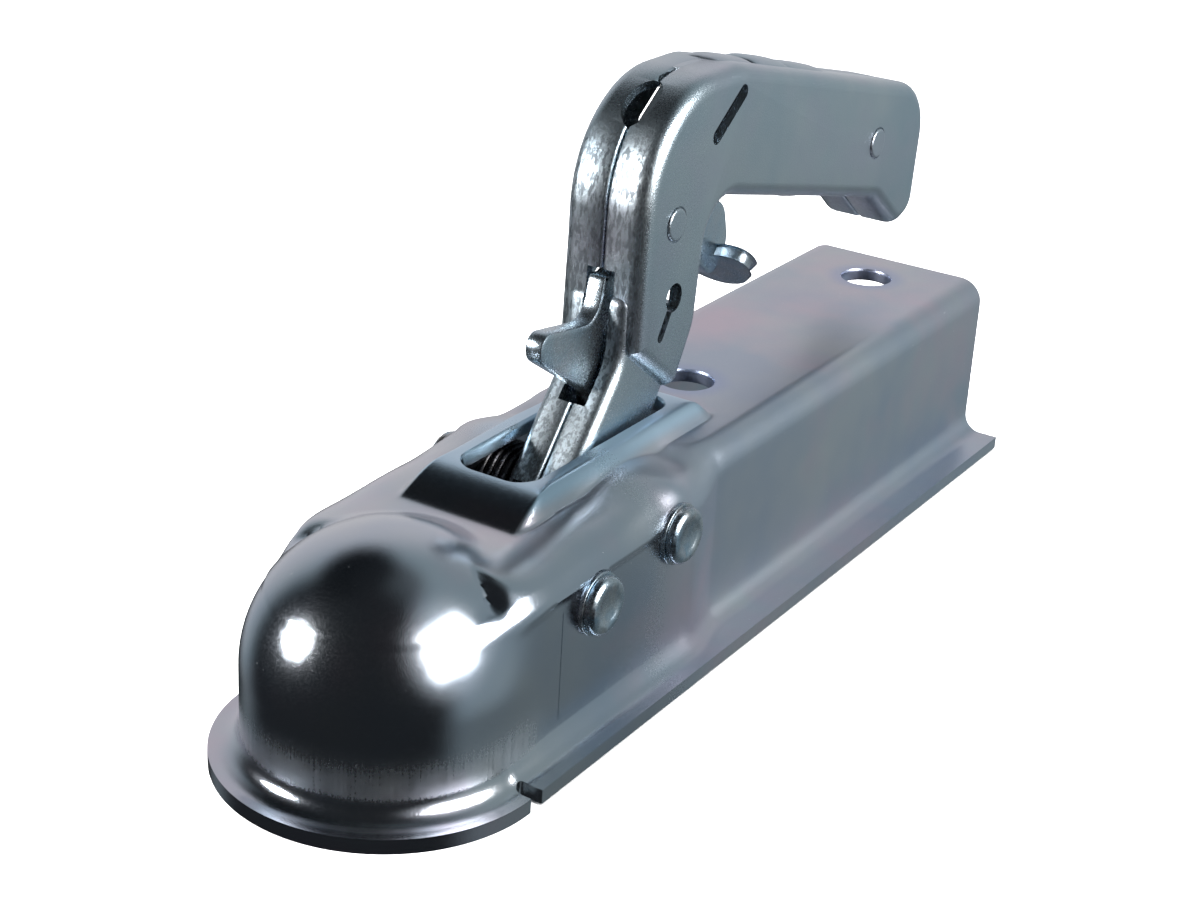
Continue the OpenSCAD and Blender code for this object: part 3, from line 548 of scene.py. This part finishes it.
def archReach(d, inner):
    # Distance of the surface from the line y = 0, z = centreHeight, at each angle round the arch.
    p = pressing
    t = sheetAt(d, inner)
    front = 1 - ease((d - p["frontEnd"]) / p["frontFade"])
    angle = np.radians(archAngles)
    c, s = np.cos(angle), np.sin(angle)
    low = p["centreHeight"]
    # The section is a rounded box: a flat roof, an elliptic corner from the shoulder up, and a wall.
    flatHalf = p["channelHalf"] - p["corner"] + (p["crownHalf"] - p["channelHalf"] + p["corner"]) * front
    shoulder = p["top"] - p["corner"] + (p["panelTop"] - dip(d, *p["shoulderDip"])
                                         - p["top"] + p["corner"]) * front
    crown = p["top"] + p["springRise"] * hump(d, p["springAt"], p["springReach"]) - dip(d, *p["crownDip"]) - t
    crown -= p["frontFall"] * (1 - ease((d - p["fallFrom"]) / p["fallLength"]))
    wide = flankAt(d) - t - p["tuck"] * (1 - ease(d / p["noseBlend"])) * ease(archAngles / p["tuckAngle"])
    a, b, h = wide - flatHalf, crown - shoulder, shoulder - low
    qa = c * c / a ** 2 + s * s / b ** 2
    qb = -2 * (flatHalf * c / a ** 2 + h * s / b ** 2)
    qc = flatHalf ** 2 / a ** 2 + h ** 2 / b ** 2 - 1
    reach = (-qb + np.sqrt(np.maximum(qb * qb - 4 * qa * qc, 0))) / (2 * qa)
    wall = wide / np.maximum(c, 1e-6)
    roof = (crown - low) / np.maximum(s, 1e-6)
    reach = np.where(low + wall * s <= shoulder, wall, reach)
    reach = np.where(roof * c <= flatHalf, roof, reach)
    radius = p["dome"] - inner * p["domeSheet"]
    if d < radius:
        round2 = radius ** 2 - d * d
        ball = -low * s + np.sqrt(np.maximum(low * low * (s * s - 1) + round2, 0))
        skirt = math.sqrt(round2) / np.maximum(c, 1e-6)
        ball = np.where(low + skirt * s < 0, skirt, ball)
        if d == 0:
            return ball
        start, length = p["creaseAngles"]
        crease = p["creaseRound"] * ease(d / p["creaseBlend"]) * ease((archAngles - start) / length)
        reach = softMax(reach, ball, crease)
    for middle, at, height, along, around in dents:
        reach = reach + height * hump(d, middle, along) * hump(archAngles, at, around)
    return reach


def sheetAt(d, inner):
    p = pressing
    return inner * (p["domeSheet"] + (p["sheet"] - p["domeSheet"]) * ease(d / p["noseBlend"]))


def flankAt(d):
    p = pressing
    step = np.clip((d - p["waistFrom"]) / (p["waistTo"] - p["waistFrom"]), 0, 1)
    narrow = (p["frontHalf"] - p["channelHalf"]) * (0.5 * step ** 2 + 0.5 * ease(step))
    return p["dome"] + (p["frontHalf"] - p["dome"]) * ease(d / p["noseBlend"]) - narrow


def archGrid(inner):
    # Below the crown the wall leaves the dome at a tangent ahead of its equator and runs out to full width.
    # Returns the rows, and for each line of the grid the angle of that tangent and how far it applies.
    rows = np.array([archReach(d, inner) for d in stations])
    length = pressing["flare"]
    across = np.maximum(np.cos(np.radians(archAngles)), 0.2)
    full = np.array([np.interp(length, stations, rows[:, k]) for k in range(len(archAngles))])
    ball = rows[0]
    span = length / (2 * across)
    lean = (-span + np.sqrt(span ** 2 + 2 * ball * np.maximum(full - ball, 0))) / ball
    start, slope = ball / np.cos(lean), np.tan(lean) / across
    miss = full - (start + slope * length / 2)
    u = np.clip(stations[:, None] / length, 0, 1)
    tangent = start + slope * length * (u - u * u / 2) + miss * ease(u)
    top, fade = pressing["flareAngles"]
    share = 1 - ease((archAngles - top) / fade)
    low = share[None, :] * (stations[:, None] < length)
    return rows + low * (tangent - rows), lean, share


def section(d, reach, inner):
    # From the edge of the flange up to the middle of the crown, in the plane x = -d.
    p = pressing
    t = sheetAt(d, inner)
    flank = flankAt(d) - t
    (start, grow), (end, fade) = p["panelFrom"], p["panelTo"]
    panel = p["panelInset"] * ease((d - start) / grow) * (1 - ease((d - end) / fade)) * (1 - inner)
    onWall, onRoof = archAngles < 60, archAngles > 40  # the roof has no panel, and the walls no collar
    early = ease(d / (p["slit"] / 2))
    flangeTop = p["ringTop"] + (p["flangeTop"] - p["ringTop"]) * early
    flangeTop -= inner * (p["ringSheet"] + (p["sheet"] - p["ringSheet"]) * early)
    flangeHalf = p["ringRadius"] + (p["flangeHalf"] - p["ringRadius"]) * early
    f = p["fillet"] + t
    low = p["centreHeight"]
    foot = [(flangeHalf, flangeTop), ((flangeHalf + flank + f) / 2, flangeTop)]
    foot += [(flank + f - f * math.sin(a), flangeTop + f - f * math.cos(a))
             for a in np.radians(np.linspace(0, 90, 13))]
    foot += [(flank, z) for z in np.linspace(flangeTop + f, low, 6)[1:-1]]
    foot = [(y - panel * ease((z - flangeTop - f * 0.4) / 3), z) for y, z in foot]
    angle = np.radians(archAngles)
    y, z = reach * np.cos(angle), low + reach * np.sin(angle)
    line = p["panelTop"] - dip(d, *p["panelDip"])
    y = y - panel * (1 - ease((z - line) / p["panelEdge"] + 0.5)) * onWall
    rise = np.maximum(p["top"] + p["collarHeight"] - t - z, 0)
    z = z + rise * collarShare(-d, y, t) * onRoof
    return foot + list(zip(y, z))


def skin(inner):
    # Grid of points: stations of the tunnel, then the front section turned round the nose.
    rows, lean, share = archGrid(inner)
    halves = [section(d, reach, inner) for d, reach in zip(stations, rows)]
    tunnel = [[(-d, y, z) for y, z in half] + [(-d, -y, z) for y, z in half[-2::-1]]
              for d, half in zip(stations[::-1], halves[::-1])]
    turns = np.radians(np.linspace(90, -90, 73))
    reach = archReach(0, inner)
    nose = []
    for t in turns:
        past = np.maximum(abs(t) - math.pi / 2 + lean, 0)
        grown = reach * (1 + share * (1 / np.cos(past) - 1))
        nose.append([(b * math.cos(t), b * math.sin(t), c) for b, c in section(0, grown, inner)])
    return tunnel, nose


def buildHousing():
    p = pressing
    points, faces = [], []

    def grid(rows, flip):
        start, width = len(points), len(rows[0])
        points.extend(q for row in rows for q in row)
        for i in range(len(rows) - 1):
            for j in range(width - 1):
                a = start + i * width + j
                quad = (a, a + 1, a + width + 1, a + width)
                faces.append(quad[::-1] if flip else quad)
        return start, width, len(rows)

    outerTunnel, outerNose = skin(0)
    innerTunnel, innerNose = skin(1)
    tunnelOut = grid(outerTunnel, False)
    noseOut = grid(outerNose, False)
    tunnelIn = grid(innerTunnel, True)
    noseIn = grid(innerNose, True)

    def rim(first, second, indices):
        # Closes the cut edge of the sheet between its outer and its inner face.
        for a, b in zip(indices[:-1], indices[1:]):
            faces.append((first[0] + a, second[0] + a, second[0] + b, first[0] + b))

    width, count = tunnelOut[1], tunnelOut[2]
    rim(tunnelOut, tunnelIn, list(range(width)))
    rim(tunnelOut, tunnelIn, [i * width for i in range(count)])
    rim(tunnelOut, tunnelIn, [i * width + width - 1 for i in range(count)])
    rim(noseOut, noseIn, [i * noseOut[1] for i in range(noseOut[2])])
    body = meshObject("housingPressing", points, faces)
    slot = []
    for z, grow in p["slotRings"]:
        half, r = p["slotHalf"] + grow, p["slotCorner"] + grow
        x0, x1 = -p["slotRear"] - grow, -p["slotFront"] + grow
        corners = [(x1 - r, half - r, 0), (x0 + r, half - r, 90), (x0 + r, -half + r, 180),
                   (x1 - r, -half + r, 270)]
        slot.append([(x + r * math.cos(a), y + r * math.sin(a), z) for x, y, start in corners
                     for a in np.radians(start + np.linspace(0, 90, 9))])
    cutters = [loftObject("slotCutter", slot)]
    for x in p["holes"]:
        rings = [[(x + q[0], q[1], z) for q in circlePoints(p["holeRadius"] + grow, 64)]
                 for z, grow in p["holeRings"]]
        cutters.append(loftObject("holeCutter", rings))
    wall = p["frontHalf"] - p["panelInset"]
    slitEnd = p["dome"] + p["slitDepth"]
    outside, beyond = 36, 40  # both past the widest part of the flanges
    for side in (1, -1):
        for pin in (jawPin, handlePin):
            cutters.append(rod("boreCutter", pin, p["boreRadius"], *sorted((20 * side, outside * side))))
            cutters.append(rod("seatCutter", pin, p["seatRadius"], *sorted((side * wall, side * outside))))
        x, reach = p["scribe"], p["scribeHalf"]
        z0, z1 = p["scribeSpan"]
        line = [(x - reach, z0), (x + reach, z0), (x + reach, z1), (x - reach, z1)]
        depth = wall - p["scribeDepth"]
        cutters.append(prism("scribeCutter", line, *sorted((side * depth, side * outside))))
        z0, z1 = p["slitSpan"]
        box = [(-p["slit"], z0), (0, z0), (0, z1), (-p["slit"], z1)]
        cutters.append(prism("slitCutter", box, *sorted((side * slitEnd, side * beyond))))
        rings = [[(q[0] - p["slit"] / 2, side * slitEnd + q[1], z) for q in circlePoints(p["slit"] / 2, 24)]
                 for z in p["slitSpan"]]
        cutters.append(loftObject("slitEnd", rings))
    combine(body, cutters)
    finishPiece(body, housingZinc, "housing", ["housing"], angle=34)


buildHousing()
print("housing built")


# The handle's two halves. The arm stands behind the handle pin, and the grip runs back from its top.
shell = {
    "half": 10.0, "sheet": 2.0, "edge": 3.5, "neckHalf": 7.5, "neckEdge": 2.6,
    "seam": 0.2, "seamRound": ((0, 0.7), (0.2, 0.3), (0.7, 0.0)),  # out from the seam, and inwards
    "armBack": 10.5, "armDepth": 25.0, "armRise": 84.4, "topLow": 0.5, "footRise": 30.0, "bend": 26.0,
    "gripLength": 132.5, "gripDepth": 28.9, "gripFall": 22.5, "pommelDepth": 7.2, "bendBack": 37.0,
    # Openings for the latch, from the front or the rear of the arm and its foot, and the mouth of the neck.
    "latchSlot": 3.3,
    "frontSlot": ((6, 17), (12, -7.5), (4.5, -12.5), (-6, -4), (-6, 17)),
    "rearSlot": ((-34, 4), (6, 4), (6, 27), (-34, 27)),
    "neckMouth": ((-20, -16), (20, -16), (20, 6), (-20, 6)),
    # The slit at the bend, from the top front corner, and the keyhole above the neck with its tail.
    "slit": ((-26.0, -13.0), (-36.0, -5.6)), "slitRadius": 1.7,
    "key": (-12.8, 39.5), "keyRadius": 3.1, "keyTail": (4.5, -7.5), "keyTailRadius": 1.1,
    "rivetSeat": 3.85, "seatDepth": 0.45,
}
armFront = handlePin[0] - shell["armBack"]
armRear = armFront - shell["armDepth"]
armTop = handlePin[2] + shell["armRise"] - shell["topLow"]
armFoot = handlePin[2] + shell["footRise"]
gripEnd = armFront - shell["gripLength"]
gripRivet = np.mean(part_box(frame["nodes"]["grip_rivet"].name), axis=0) / mm


def gripTop(x):
    slope = shell["gripFall"] / (shell["gripLength"] - shell["bendBack"])
    return armTop - slope * (armFront - shell["bendBack"] - x)


def pommel(back, drop, r):
    return (gripEnd + back, gripTop(gripEnd + back) - shell["gripDepth"] - shell["pommelDepth"] * drop, r)


# The eye in the seam: its middle behind and below the top front corner, half its length and half its width.
eye = {
    "back": 11.8, "down": 4.8, "length": 6.6, "half": 3.4, "lean": 52, "depths": (-9, 7),
    "roundness": 2.6, "fullness": 0.7, "tip": 0.92, "thinnest": 0.25,
    "spike": ((1.25, 0.75), (1.6, 0.45), (2.05, 0.02)),  # along in half lengths, and half width
}
# Outlines are corners with their radius: x, z and radius.
upperOutline = [
    (armFront + 0.8, armFoot, 2), (armFront, armFoot + 22, 30), (armFront - 0.4, armTop, shell["bend"]),
    (armFront - shell["bendBack"], armTop, 20), (gripEnd, gripTop(gripEnd), 14), pommel(2.5, 0.3, 6),
    pommel(11, 1.05, 6.5), pommel(25, 0, 7),
    (armRear - 1.5, gripTop(armRear) - shell["gripDepth"], 9), (armRear + 1, armFoot + 1, 12),
    (armRear + 8.5, armFoot - 13, 3)]
neckOutline = [
    (armFront + 1.2, armFoot + 12, 2), (armRear + 3, armFoot + 12, 2), (armRear + 3.5, armFoot - 3, 6),
    (handlePin[0] - 14.5, handlePin[2] - 1, 8), (handlePin[0] - 10, handlePin[2] - 12, 8),
    (handlePin[0] + 8, handlePin[2] - 12, 8), (handlePin[0] + 14, handlePin[2] + 1.5, 6),
    (armFront + 2.2, armFoot - 1.6, 12)]


def roundedOutline(outline, inset, finest=1.1):
    # Corners (x, z, radius) as arcs, all moved inwards by inset. The step count ignores the inset.
    count, points = len(outline), []
    for i in range(count):
        a, b, c = (np.array(outline[(i + k) % count][:2]) for k in (-1, 0, 1))
        u, v = (b - a) / np.linalg.norm(b - a), (c - b) / np.linalg.norm(c - b)
        side = 1 if u[0] * v[1] - u[1] * v[0] > 0 else -1
        m = np.array((-u[1], u[0])) + np.array((-v[1], v[0]))
        corner = b + m * inset * 2 / (m @ m)
        radius = max(0.2, outline[i][2] - side * inset)
        half = math.acos(max(-1, min(1, -(u @ v)))) / 2
        middle = corner + (v - u) / np.linalg.norm(v - u) * radius / math.sin(half)
        sweep = side * (math.pi - 2 * half)
        steps = max(3, round(abs(sweep) * outline[i][2] / finest))
        first = math.atan2(*(corner - middle)[::-1])
        points += [tuple(middle + radius * np.array((math.cos(t), math.sin(t))))
                   for t in first - sweep / 2 + np.arange(steps + 1) * sweep / steps]
    return points


def shellForm(name, outline, half, edge, t, side):
    # One half of the handle as a closed form: its outer face where t is 0, or the hollow a sheet inside it.
    top, bend = half - t, max(0.4, edge - t)
    rings = [(shell["seam"] + out, inset) for out, inset in shell["seamRound"]] if t == 0 else [(0, 0)]
    rings += [(top - bend, 0.0)]
    rings += [(top - bend + bend * math.sin(a), bend * (1 - math.cos(a)))
              for a in np.radians((15, 30, 45, 60, 75, 90))]
    return loftObject(name, [[(x, side * y, z) for x, z in roundedOutline(outline, t + inset)]
                             for y, inset in rings])


def eyeCutter(side):
    # Half of the lens that opens in the seam over the bend, with a thin spike at its upper end.
    e = eye
    lean = math.radians(e["lean"])
    along = np.array((-math.sin(lean), 0, math.cos(lean)))
    inwards = np.array((-math.cos(lean), 0, -math.sin(lean)))
    steps = np.linspace(-1, 1, 25)
    widths = [e["half"] * (1 - abs(v) ** e["roundness"]) ** e["fullness"] if v < e["tip"] else 0.0
              for v in steps]
    rim = [(v * e["length"], max(w, e["thinnest"])) for v, w in zip(steps, widths)]
    rim += [(v * e["length"], w) for v, w in e["spike"]]
    outline = [(rim[0][0], -0.5)] + rim + [(rim[-1][0], -0.5)]
    centre = np.array((armFront - e["back"], 0, armTop - e["down"]))
    rings = [[centre + along * u + inwards * depth + np.array((0, side * w, 0)) for u, w in outline]
             for depth in e["depths"]]
    return loftObject("eyeCutter", rings)


def buildShell(side, name, node):
    s = shell
    body = shellForm(name, upperOutline, s["half"], s["edge"], 0, side)
    combine(body, [shellForm("neck", neckOutline, s["neckHalf"], s["neckEdge"], 0, side)], "UNION")
    cutters = [shellForm("hollow", upperOutline, s["half"], s["edge"], s["sheet"], side),
               shellForm("neckHollow", neckOutline, s["neckHalf"], s["neckEdge"], s["sheet"], side)]

    def cut(outline, depth, start=-1):
        cutters.append(prism("cutter", outline, *sorted((side * start, side * depth))))

    through = s["half"] + 1
    cut([(armFront + x, armFoot + z) for x, z in s["frontSlot"]], s["latchSlot"])
    cut([(armRear + x, armFoot + z) for x, z in s["rearSlot"]], s["latchSlot"])
    cut([(handlePin[0] + x, handlePin[2] + z) for x, z in s["neckMouth"]], s["neckHalf"] - s["sheet"])
    cutters.append(eyeCutter(side))
    cut(oblongPoints(*((armFront + x, armTop + z) for x, z in s["slit"]), s["slitRadius"]), through)
    key = (armFront + s["key"][0], handlePin[2] + s["key"][1])
    tail = (key[0] + s["keyTail"][0], key[1] + s["keyTail"][1])
    cut(oblongPoints(key, tail, s["keyTailRadius"]), through)
    cut(circlePoints(s["keyRadius"], centre=key), through)
    for at in (latchPin, gripRivet):
        cut(circlePoints(s["rivetSeat"], centre=(at[0], at[2])), through, s["half"] - s["seatDepth"])
    combine(body, cutters)
    finishPiece(body, handleZinc, "handle", [node], angle=42)


buildShell(1, "handleShellLeft", "handle_shell_left")
buildShell(-1, "handleShellRight", "handle_shell_right")
print("handle shells built")


# Where the sheet of one half folds over the other, as low mounds: the distances behind the front of the arm
# between which each lies, its height, its half width, and 1 for the top of the grip or -1 for its underside.
folds = {
    "foldLine": (24.5, 36, 0.1, 2.4, 1),
    "foldTab1": (34.6, 49.7, 1.0, 6.2, 1),
    "foldTab2": (50.1, 65.9, 1.5, 6.4, 1),
    "foldTab3": (66.3, 84.5, 1.1, 6.2, 1),
    "underFold1": (66.8, 75.2, 0.8, 7.6, -1),
    "underFold2": (78, 94, 0.6, 7.6, -1),
}
foldSheet = 1.6
foldTop = cadBox[1][2] / mm - 0.05  # the real tabs stand higher, but the model may not leave the solids' box


def gripCrest(back):
    # Height of the top line: round over the bend, flat behind it, then falling along the grip.
    slope = shell["gripFall"] / (shell["gripLength"] - shell["bendBack"])
    r = shell["bend"]
    bent = r - math.sqrt(r * r - max(r - back, 0) ** 2)
    return armTop - bent - slope * softRamp(np.float64(back - shell["bendBack"]), 3.0)


def buildFolds():
    for name, (start, end, rise, wide, side) in folds.items():
        rows = []
        for along in np.linspace(0, 1, 33):
            back = start + (end - start) * along
            swell = rise * (1 - abs(2 * along - 1) ** 4) ** 0.7
            crest = gripCrest(back) - (0 if side > 0 else shell["gripDepth"])
            rows.append([])
            for v in np.linspace(-1, 1, 21):
                z = crest + side * ((1 + swell) * (1 - abs(v) ** 3.2) - 1)
                rows[-1].append((armFront - back, v * wide, min(z, foldTop)))
        count = len(rows[0])
        points = [q for row in rows for q in row]
        half = len(points)
        points += [(x, y, z - side * foldSheet) for x, y, z in points]
        faces = []
        for i in range(len(rows) - 1):
            for j in range(count - 1):
                a = i * count + j
                faces += [(a, a + 1, a + count + 1, a + count),
                          (half + a, half + a + count, half + a + count + 1, half + a + 1)]
            for j in (0, count - 1):
                a = i * count + j
                faces.append((a, a + count, half + a + count, half + a))
        for i in (0, len(rows) - 1):
            for j in range(count - 1):
                a = i * count + j
                faces.append((a, half + a, half + a + 1, a + 1))
        finishPiece(meshObject(name, points, faces), handleZinc, "handle", [], angle=60)


buildFolds()
print("folds laid over the seam")


# Springs of round wire: distances along the pin from the middle of the head, and the two legs as how far
# their ends lie from the coil's own start and end in x, y and z.
coils = {
    "handleSpring": {"wire": 1.9, "radius": 7.55, "start": 9.5, "pitch": 2.0, "turns": 4.25, "at": handlePin,
                     "legs": ((0, -0.4, -16), (12, 0.6, -1.6))},
    "jawSpring": {"wire": 1.3, "radius": 7.05, "start": 14.8, "pitch": 1.6, "turns": 4.25, "at": jawPin,
                  "legs": ((0, -0.3, -14), (-12, 0.48, 0))},
    "latchSpring": {"wire": 1.1, "radius": 4.95, "start": 3.1, "pitch": 1.3, "turns": 3.25, "at": latchPin,
                    "legs": ((0, -0.2, -12), (6, 0.26, 0))},
}
turnSteps = 40


def buildSpring(kind, name, side, body, node):
    c = coils[kind]
    at, r = c["at"], c["radius"]
    (x0, out0, z0), (x1, out1, z1) = c["legs"]
    steps = int(c["turns"] * turnSteps)
    y1 = c["start"] + int(c["turns"]) * c["pitch"]
    path = [(at[0] - r + x0, c["start"] + out0, at[2] + z0)]
    for k in range(steps + 1):
        a = math.radians(180 - k * 360 / turnSteps)
        out = c["start"] + (y1 - c["start"]) * k / steps
        path.append((at[0] + r * math.cos(a), out, at[2] + r * math.sin(a)))
    path.append((at[0] + x1, y1 + out1, at[2] + r + z1))
    curve = bpy.data.curves.new(name, "CURVE")
    curve.dimensions = "3D"
    curve.bevel_depth = c["wire"] / 2 * mm
    curve.bevel_resolution = 4
    curve.use_fill_caps = True
    line = curve.splines.new("POLY")
    line.points.add(len(path) - 1)
    for point, (x, y, z) in zip(line.points, path):
        point.co = (x * mm, side * y * mm, z * mm, 1)
    wire = bpy.data.objects.new(name, curve)
    bpy.context.scene.collection.objects.link(wire)
    bpy.context.view_layer.update()
    mesh = bpy.data.meshes.new_from_object(wire)
    bpy.data.objects.remove(wire)
    piece = bpy.data.objects.new(name, mesh)
    bpy.context.scene.collection.objects.link(piece)
    finishPiece(piece, springWire, body, [node], angle=60)


for side, word in ((1, "left"), (-1, "right")):
    buildSpring("handleSpring", f"handleSpring_{word}", side, "housing", f"main_spring_{word}")
    buildSpring("jawSpring", f"jawSpring_{word}", side, "housing", f"jaw_spring_{word}")
buildSpring("latchSpring", "latchSpring", -1, "handle", "latch_spring")
print("springs wound")


# The thumb latch: a thick plate with a nose in front, a toe in the neck and a finger rest behind the arm.
# Corners (from the front of the arm, above its foot, radius). The rest's rounds are (up, inwards).
latch = {
    "half": 2.0, "edge": 0.5, "bore": 2.65,
    "restHalf": 9.8, "restLength": 12.4, "restLean": 45.0, "restAt": (-41.5, 9.5), "restThick": 3.0,
    "restRound": ((0, 1.2), (0, 0.7), (0.2, 0.2), (0.7, 0)),
    "plate": [(1.5, 16.5, 1.2), (-3, 14, 3), (-5, 33, 8), (-20, 32, 6), (-36, 21.5, 8), (-46, 22, 6),
              (-49.5, 10, 6), (-43, 4, 3), (-30, 14, 8), (-14, 14, 10), (-6.5, -6, 6), (-0.5, -17.5, 1),
              (3.5, -18, 1), (4.5, -8.5, 3), (23.8, 4, 3.5), (24, 9.8, 3), (4, 6.8, 5)],
}


def buildLatch():
    plate = [(armFront + x, armFoot + z, r) for x, z, r in latch["plate"]]
    half, edge = latch["half"], latch["edge"]
    side = [(half, edge + 0.6), (half, edge), (half - edge * 0.3, edge * 0.3), (half - edge, 0)]
    body = loftObject("thumbLatch", [[(x, y, z) for x, z in roundedOutline(plate, inset, 0.7)]
                                     for y, inset in [(-y, i) for y, i in side] + side[::-1]])
    wide, long = latch["restHalf"], latch["restLength"]
    arm = [(0, long, 8), (wide * 0.6, long * 0.8, 8), (wide, long * 0.36, 2.5), (wide, 0, 2.5),
           (wide * 0.5, 0, 6)]
    ends = arm + [(0, long * 0.2, 8)] + [(-a, b, r) for a, b, r in arm[:0:-1]]
    thick, t = latch["restThick"], math.radians(latch["restLean"])
    x, z = armFront + latch["restAt"][0], armFoot + latch["restAt"][1]
    rounds = latch["restRound"]
    rings = [[(x - along * math.cos(t) - up * math.sin(t), across, z - along * math.sin(t) + up * math.cos(t))
              for across, along in roundedOutline(ends, inset, 0.7)]
             for up, inset in [*rounds, *((thick - up, inset) for up, inset in rounds[::-1])]]
    combine(body, [loftObject("rest", rings)], "UNION")
    combine(body, [rod("bore", latchPin, latch["bore"], -5, 5)])
    finishPiece(body, latchZinc, "latch", ["safety_latch"], angle=40)


buildLatch()
print("latch built")


# Rivets with flat heads, as pairs of y and radius from the middle of the handle outwards.
rivetHalf = [(9.2, 2.5), (9.2, 3.5), (9.95, 3.5), (10.2, 3.43), (10.38, 3.25), (10.45, 3.0), (10.45, 2.6)]
rivetProfile = [(-y, r) for y, r in rivetHalf[::-1]] + rivetHalf
for node, name, at in (("latch_rivet", "latchRivet", latchPin), ("grip_rivet", "gripRivet", gripRivet)):
    finishPiece(turned(name, at, rivetProfile), handleZinc, "handle", [node], angle=35)


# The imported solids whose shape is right, with the width of their broken edges.
solids = [
    ("jaw_pin", "jawPin", 0.3, brightZinc, "housing", "bright_zinc"),
    ("handle_pin", "handlePin", 0.3, brightZinc, "housing", "bright_zinc"),
    ("jaw_pin_washers", "jawPinWashers", 0.2, brightZinc, "housing", "bright_zinc"),
    ("handle_pin_washers", "handlePinWashers", 0.2, brightZinc, "housing", "bright_zinc"),
    ("jaw_spacers", "jawSpacers", 0.2, darkSteel, "housing", "dark_steel"),
    ("handle_spacers", "handleSpacers", 0.2, darkSteel, "housing", "dark_steel"),
    ("lock_sector", "lockSector", 0.2, darkSteel, "housing", "dark_steel"),
    ("jaw", "ballJaw", 0.5, darkSteel, "jaw", "dark_steel"),
    ("cam_plate_left", "camPlateLeft", 0.2, darkSteel, "handle", "dark_steel"),
    ("cam_plate_right", "camPlateRight", 0.2, darkSteel, "handle", "dark_steel"),
    ("latch_spacers", "latchSpacers", 0.15, darkSteel, "handle", "dark_steel"),
    ("grip_spacer", "gripSpacer", 0.15, darkSteel, "handle", "dark_steel"),
]


def fromSolid(node, name, width, material, body, slot):
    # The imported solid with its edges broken, as a tumbled or turned piece has them.
    mesh = frame["nodes"][node].data.copy()
    work = bmesh.new()
    work.from_mesh(mesh)
    bmesh.ops.remove_doubles(work, verts=work.verts, dist=1e-6)
    bmesh.ops.dissolve_limit(work, angle_limit=math.radians(0.8), verts=work.verts, edges=work.edges)
    work.to_mesh(mesh)
    work.free()
    piece = bpy.data.objects.new(name, mesh)
    bpy.context.scene.collection.objects.link(piece)
    edge = piece.modifiers.new("edge", "BEVEL")
    edge.width = width * mm
    edge.segments = 3
    edge.limit_method = "ANGLE"
    edge.angle_limit = math.radians(30)
    bakeModifiers(piece)
    finishPiece(piece, material, body, [node], angle=44)


for solid in solids:
    fromSolid(*solid)
print("small pieces finished")
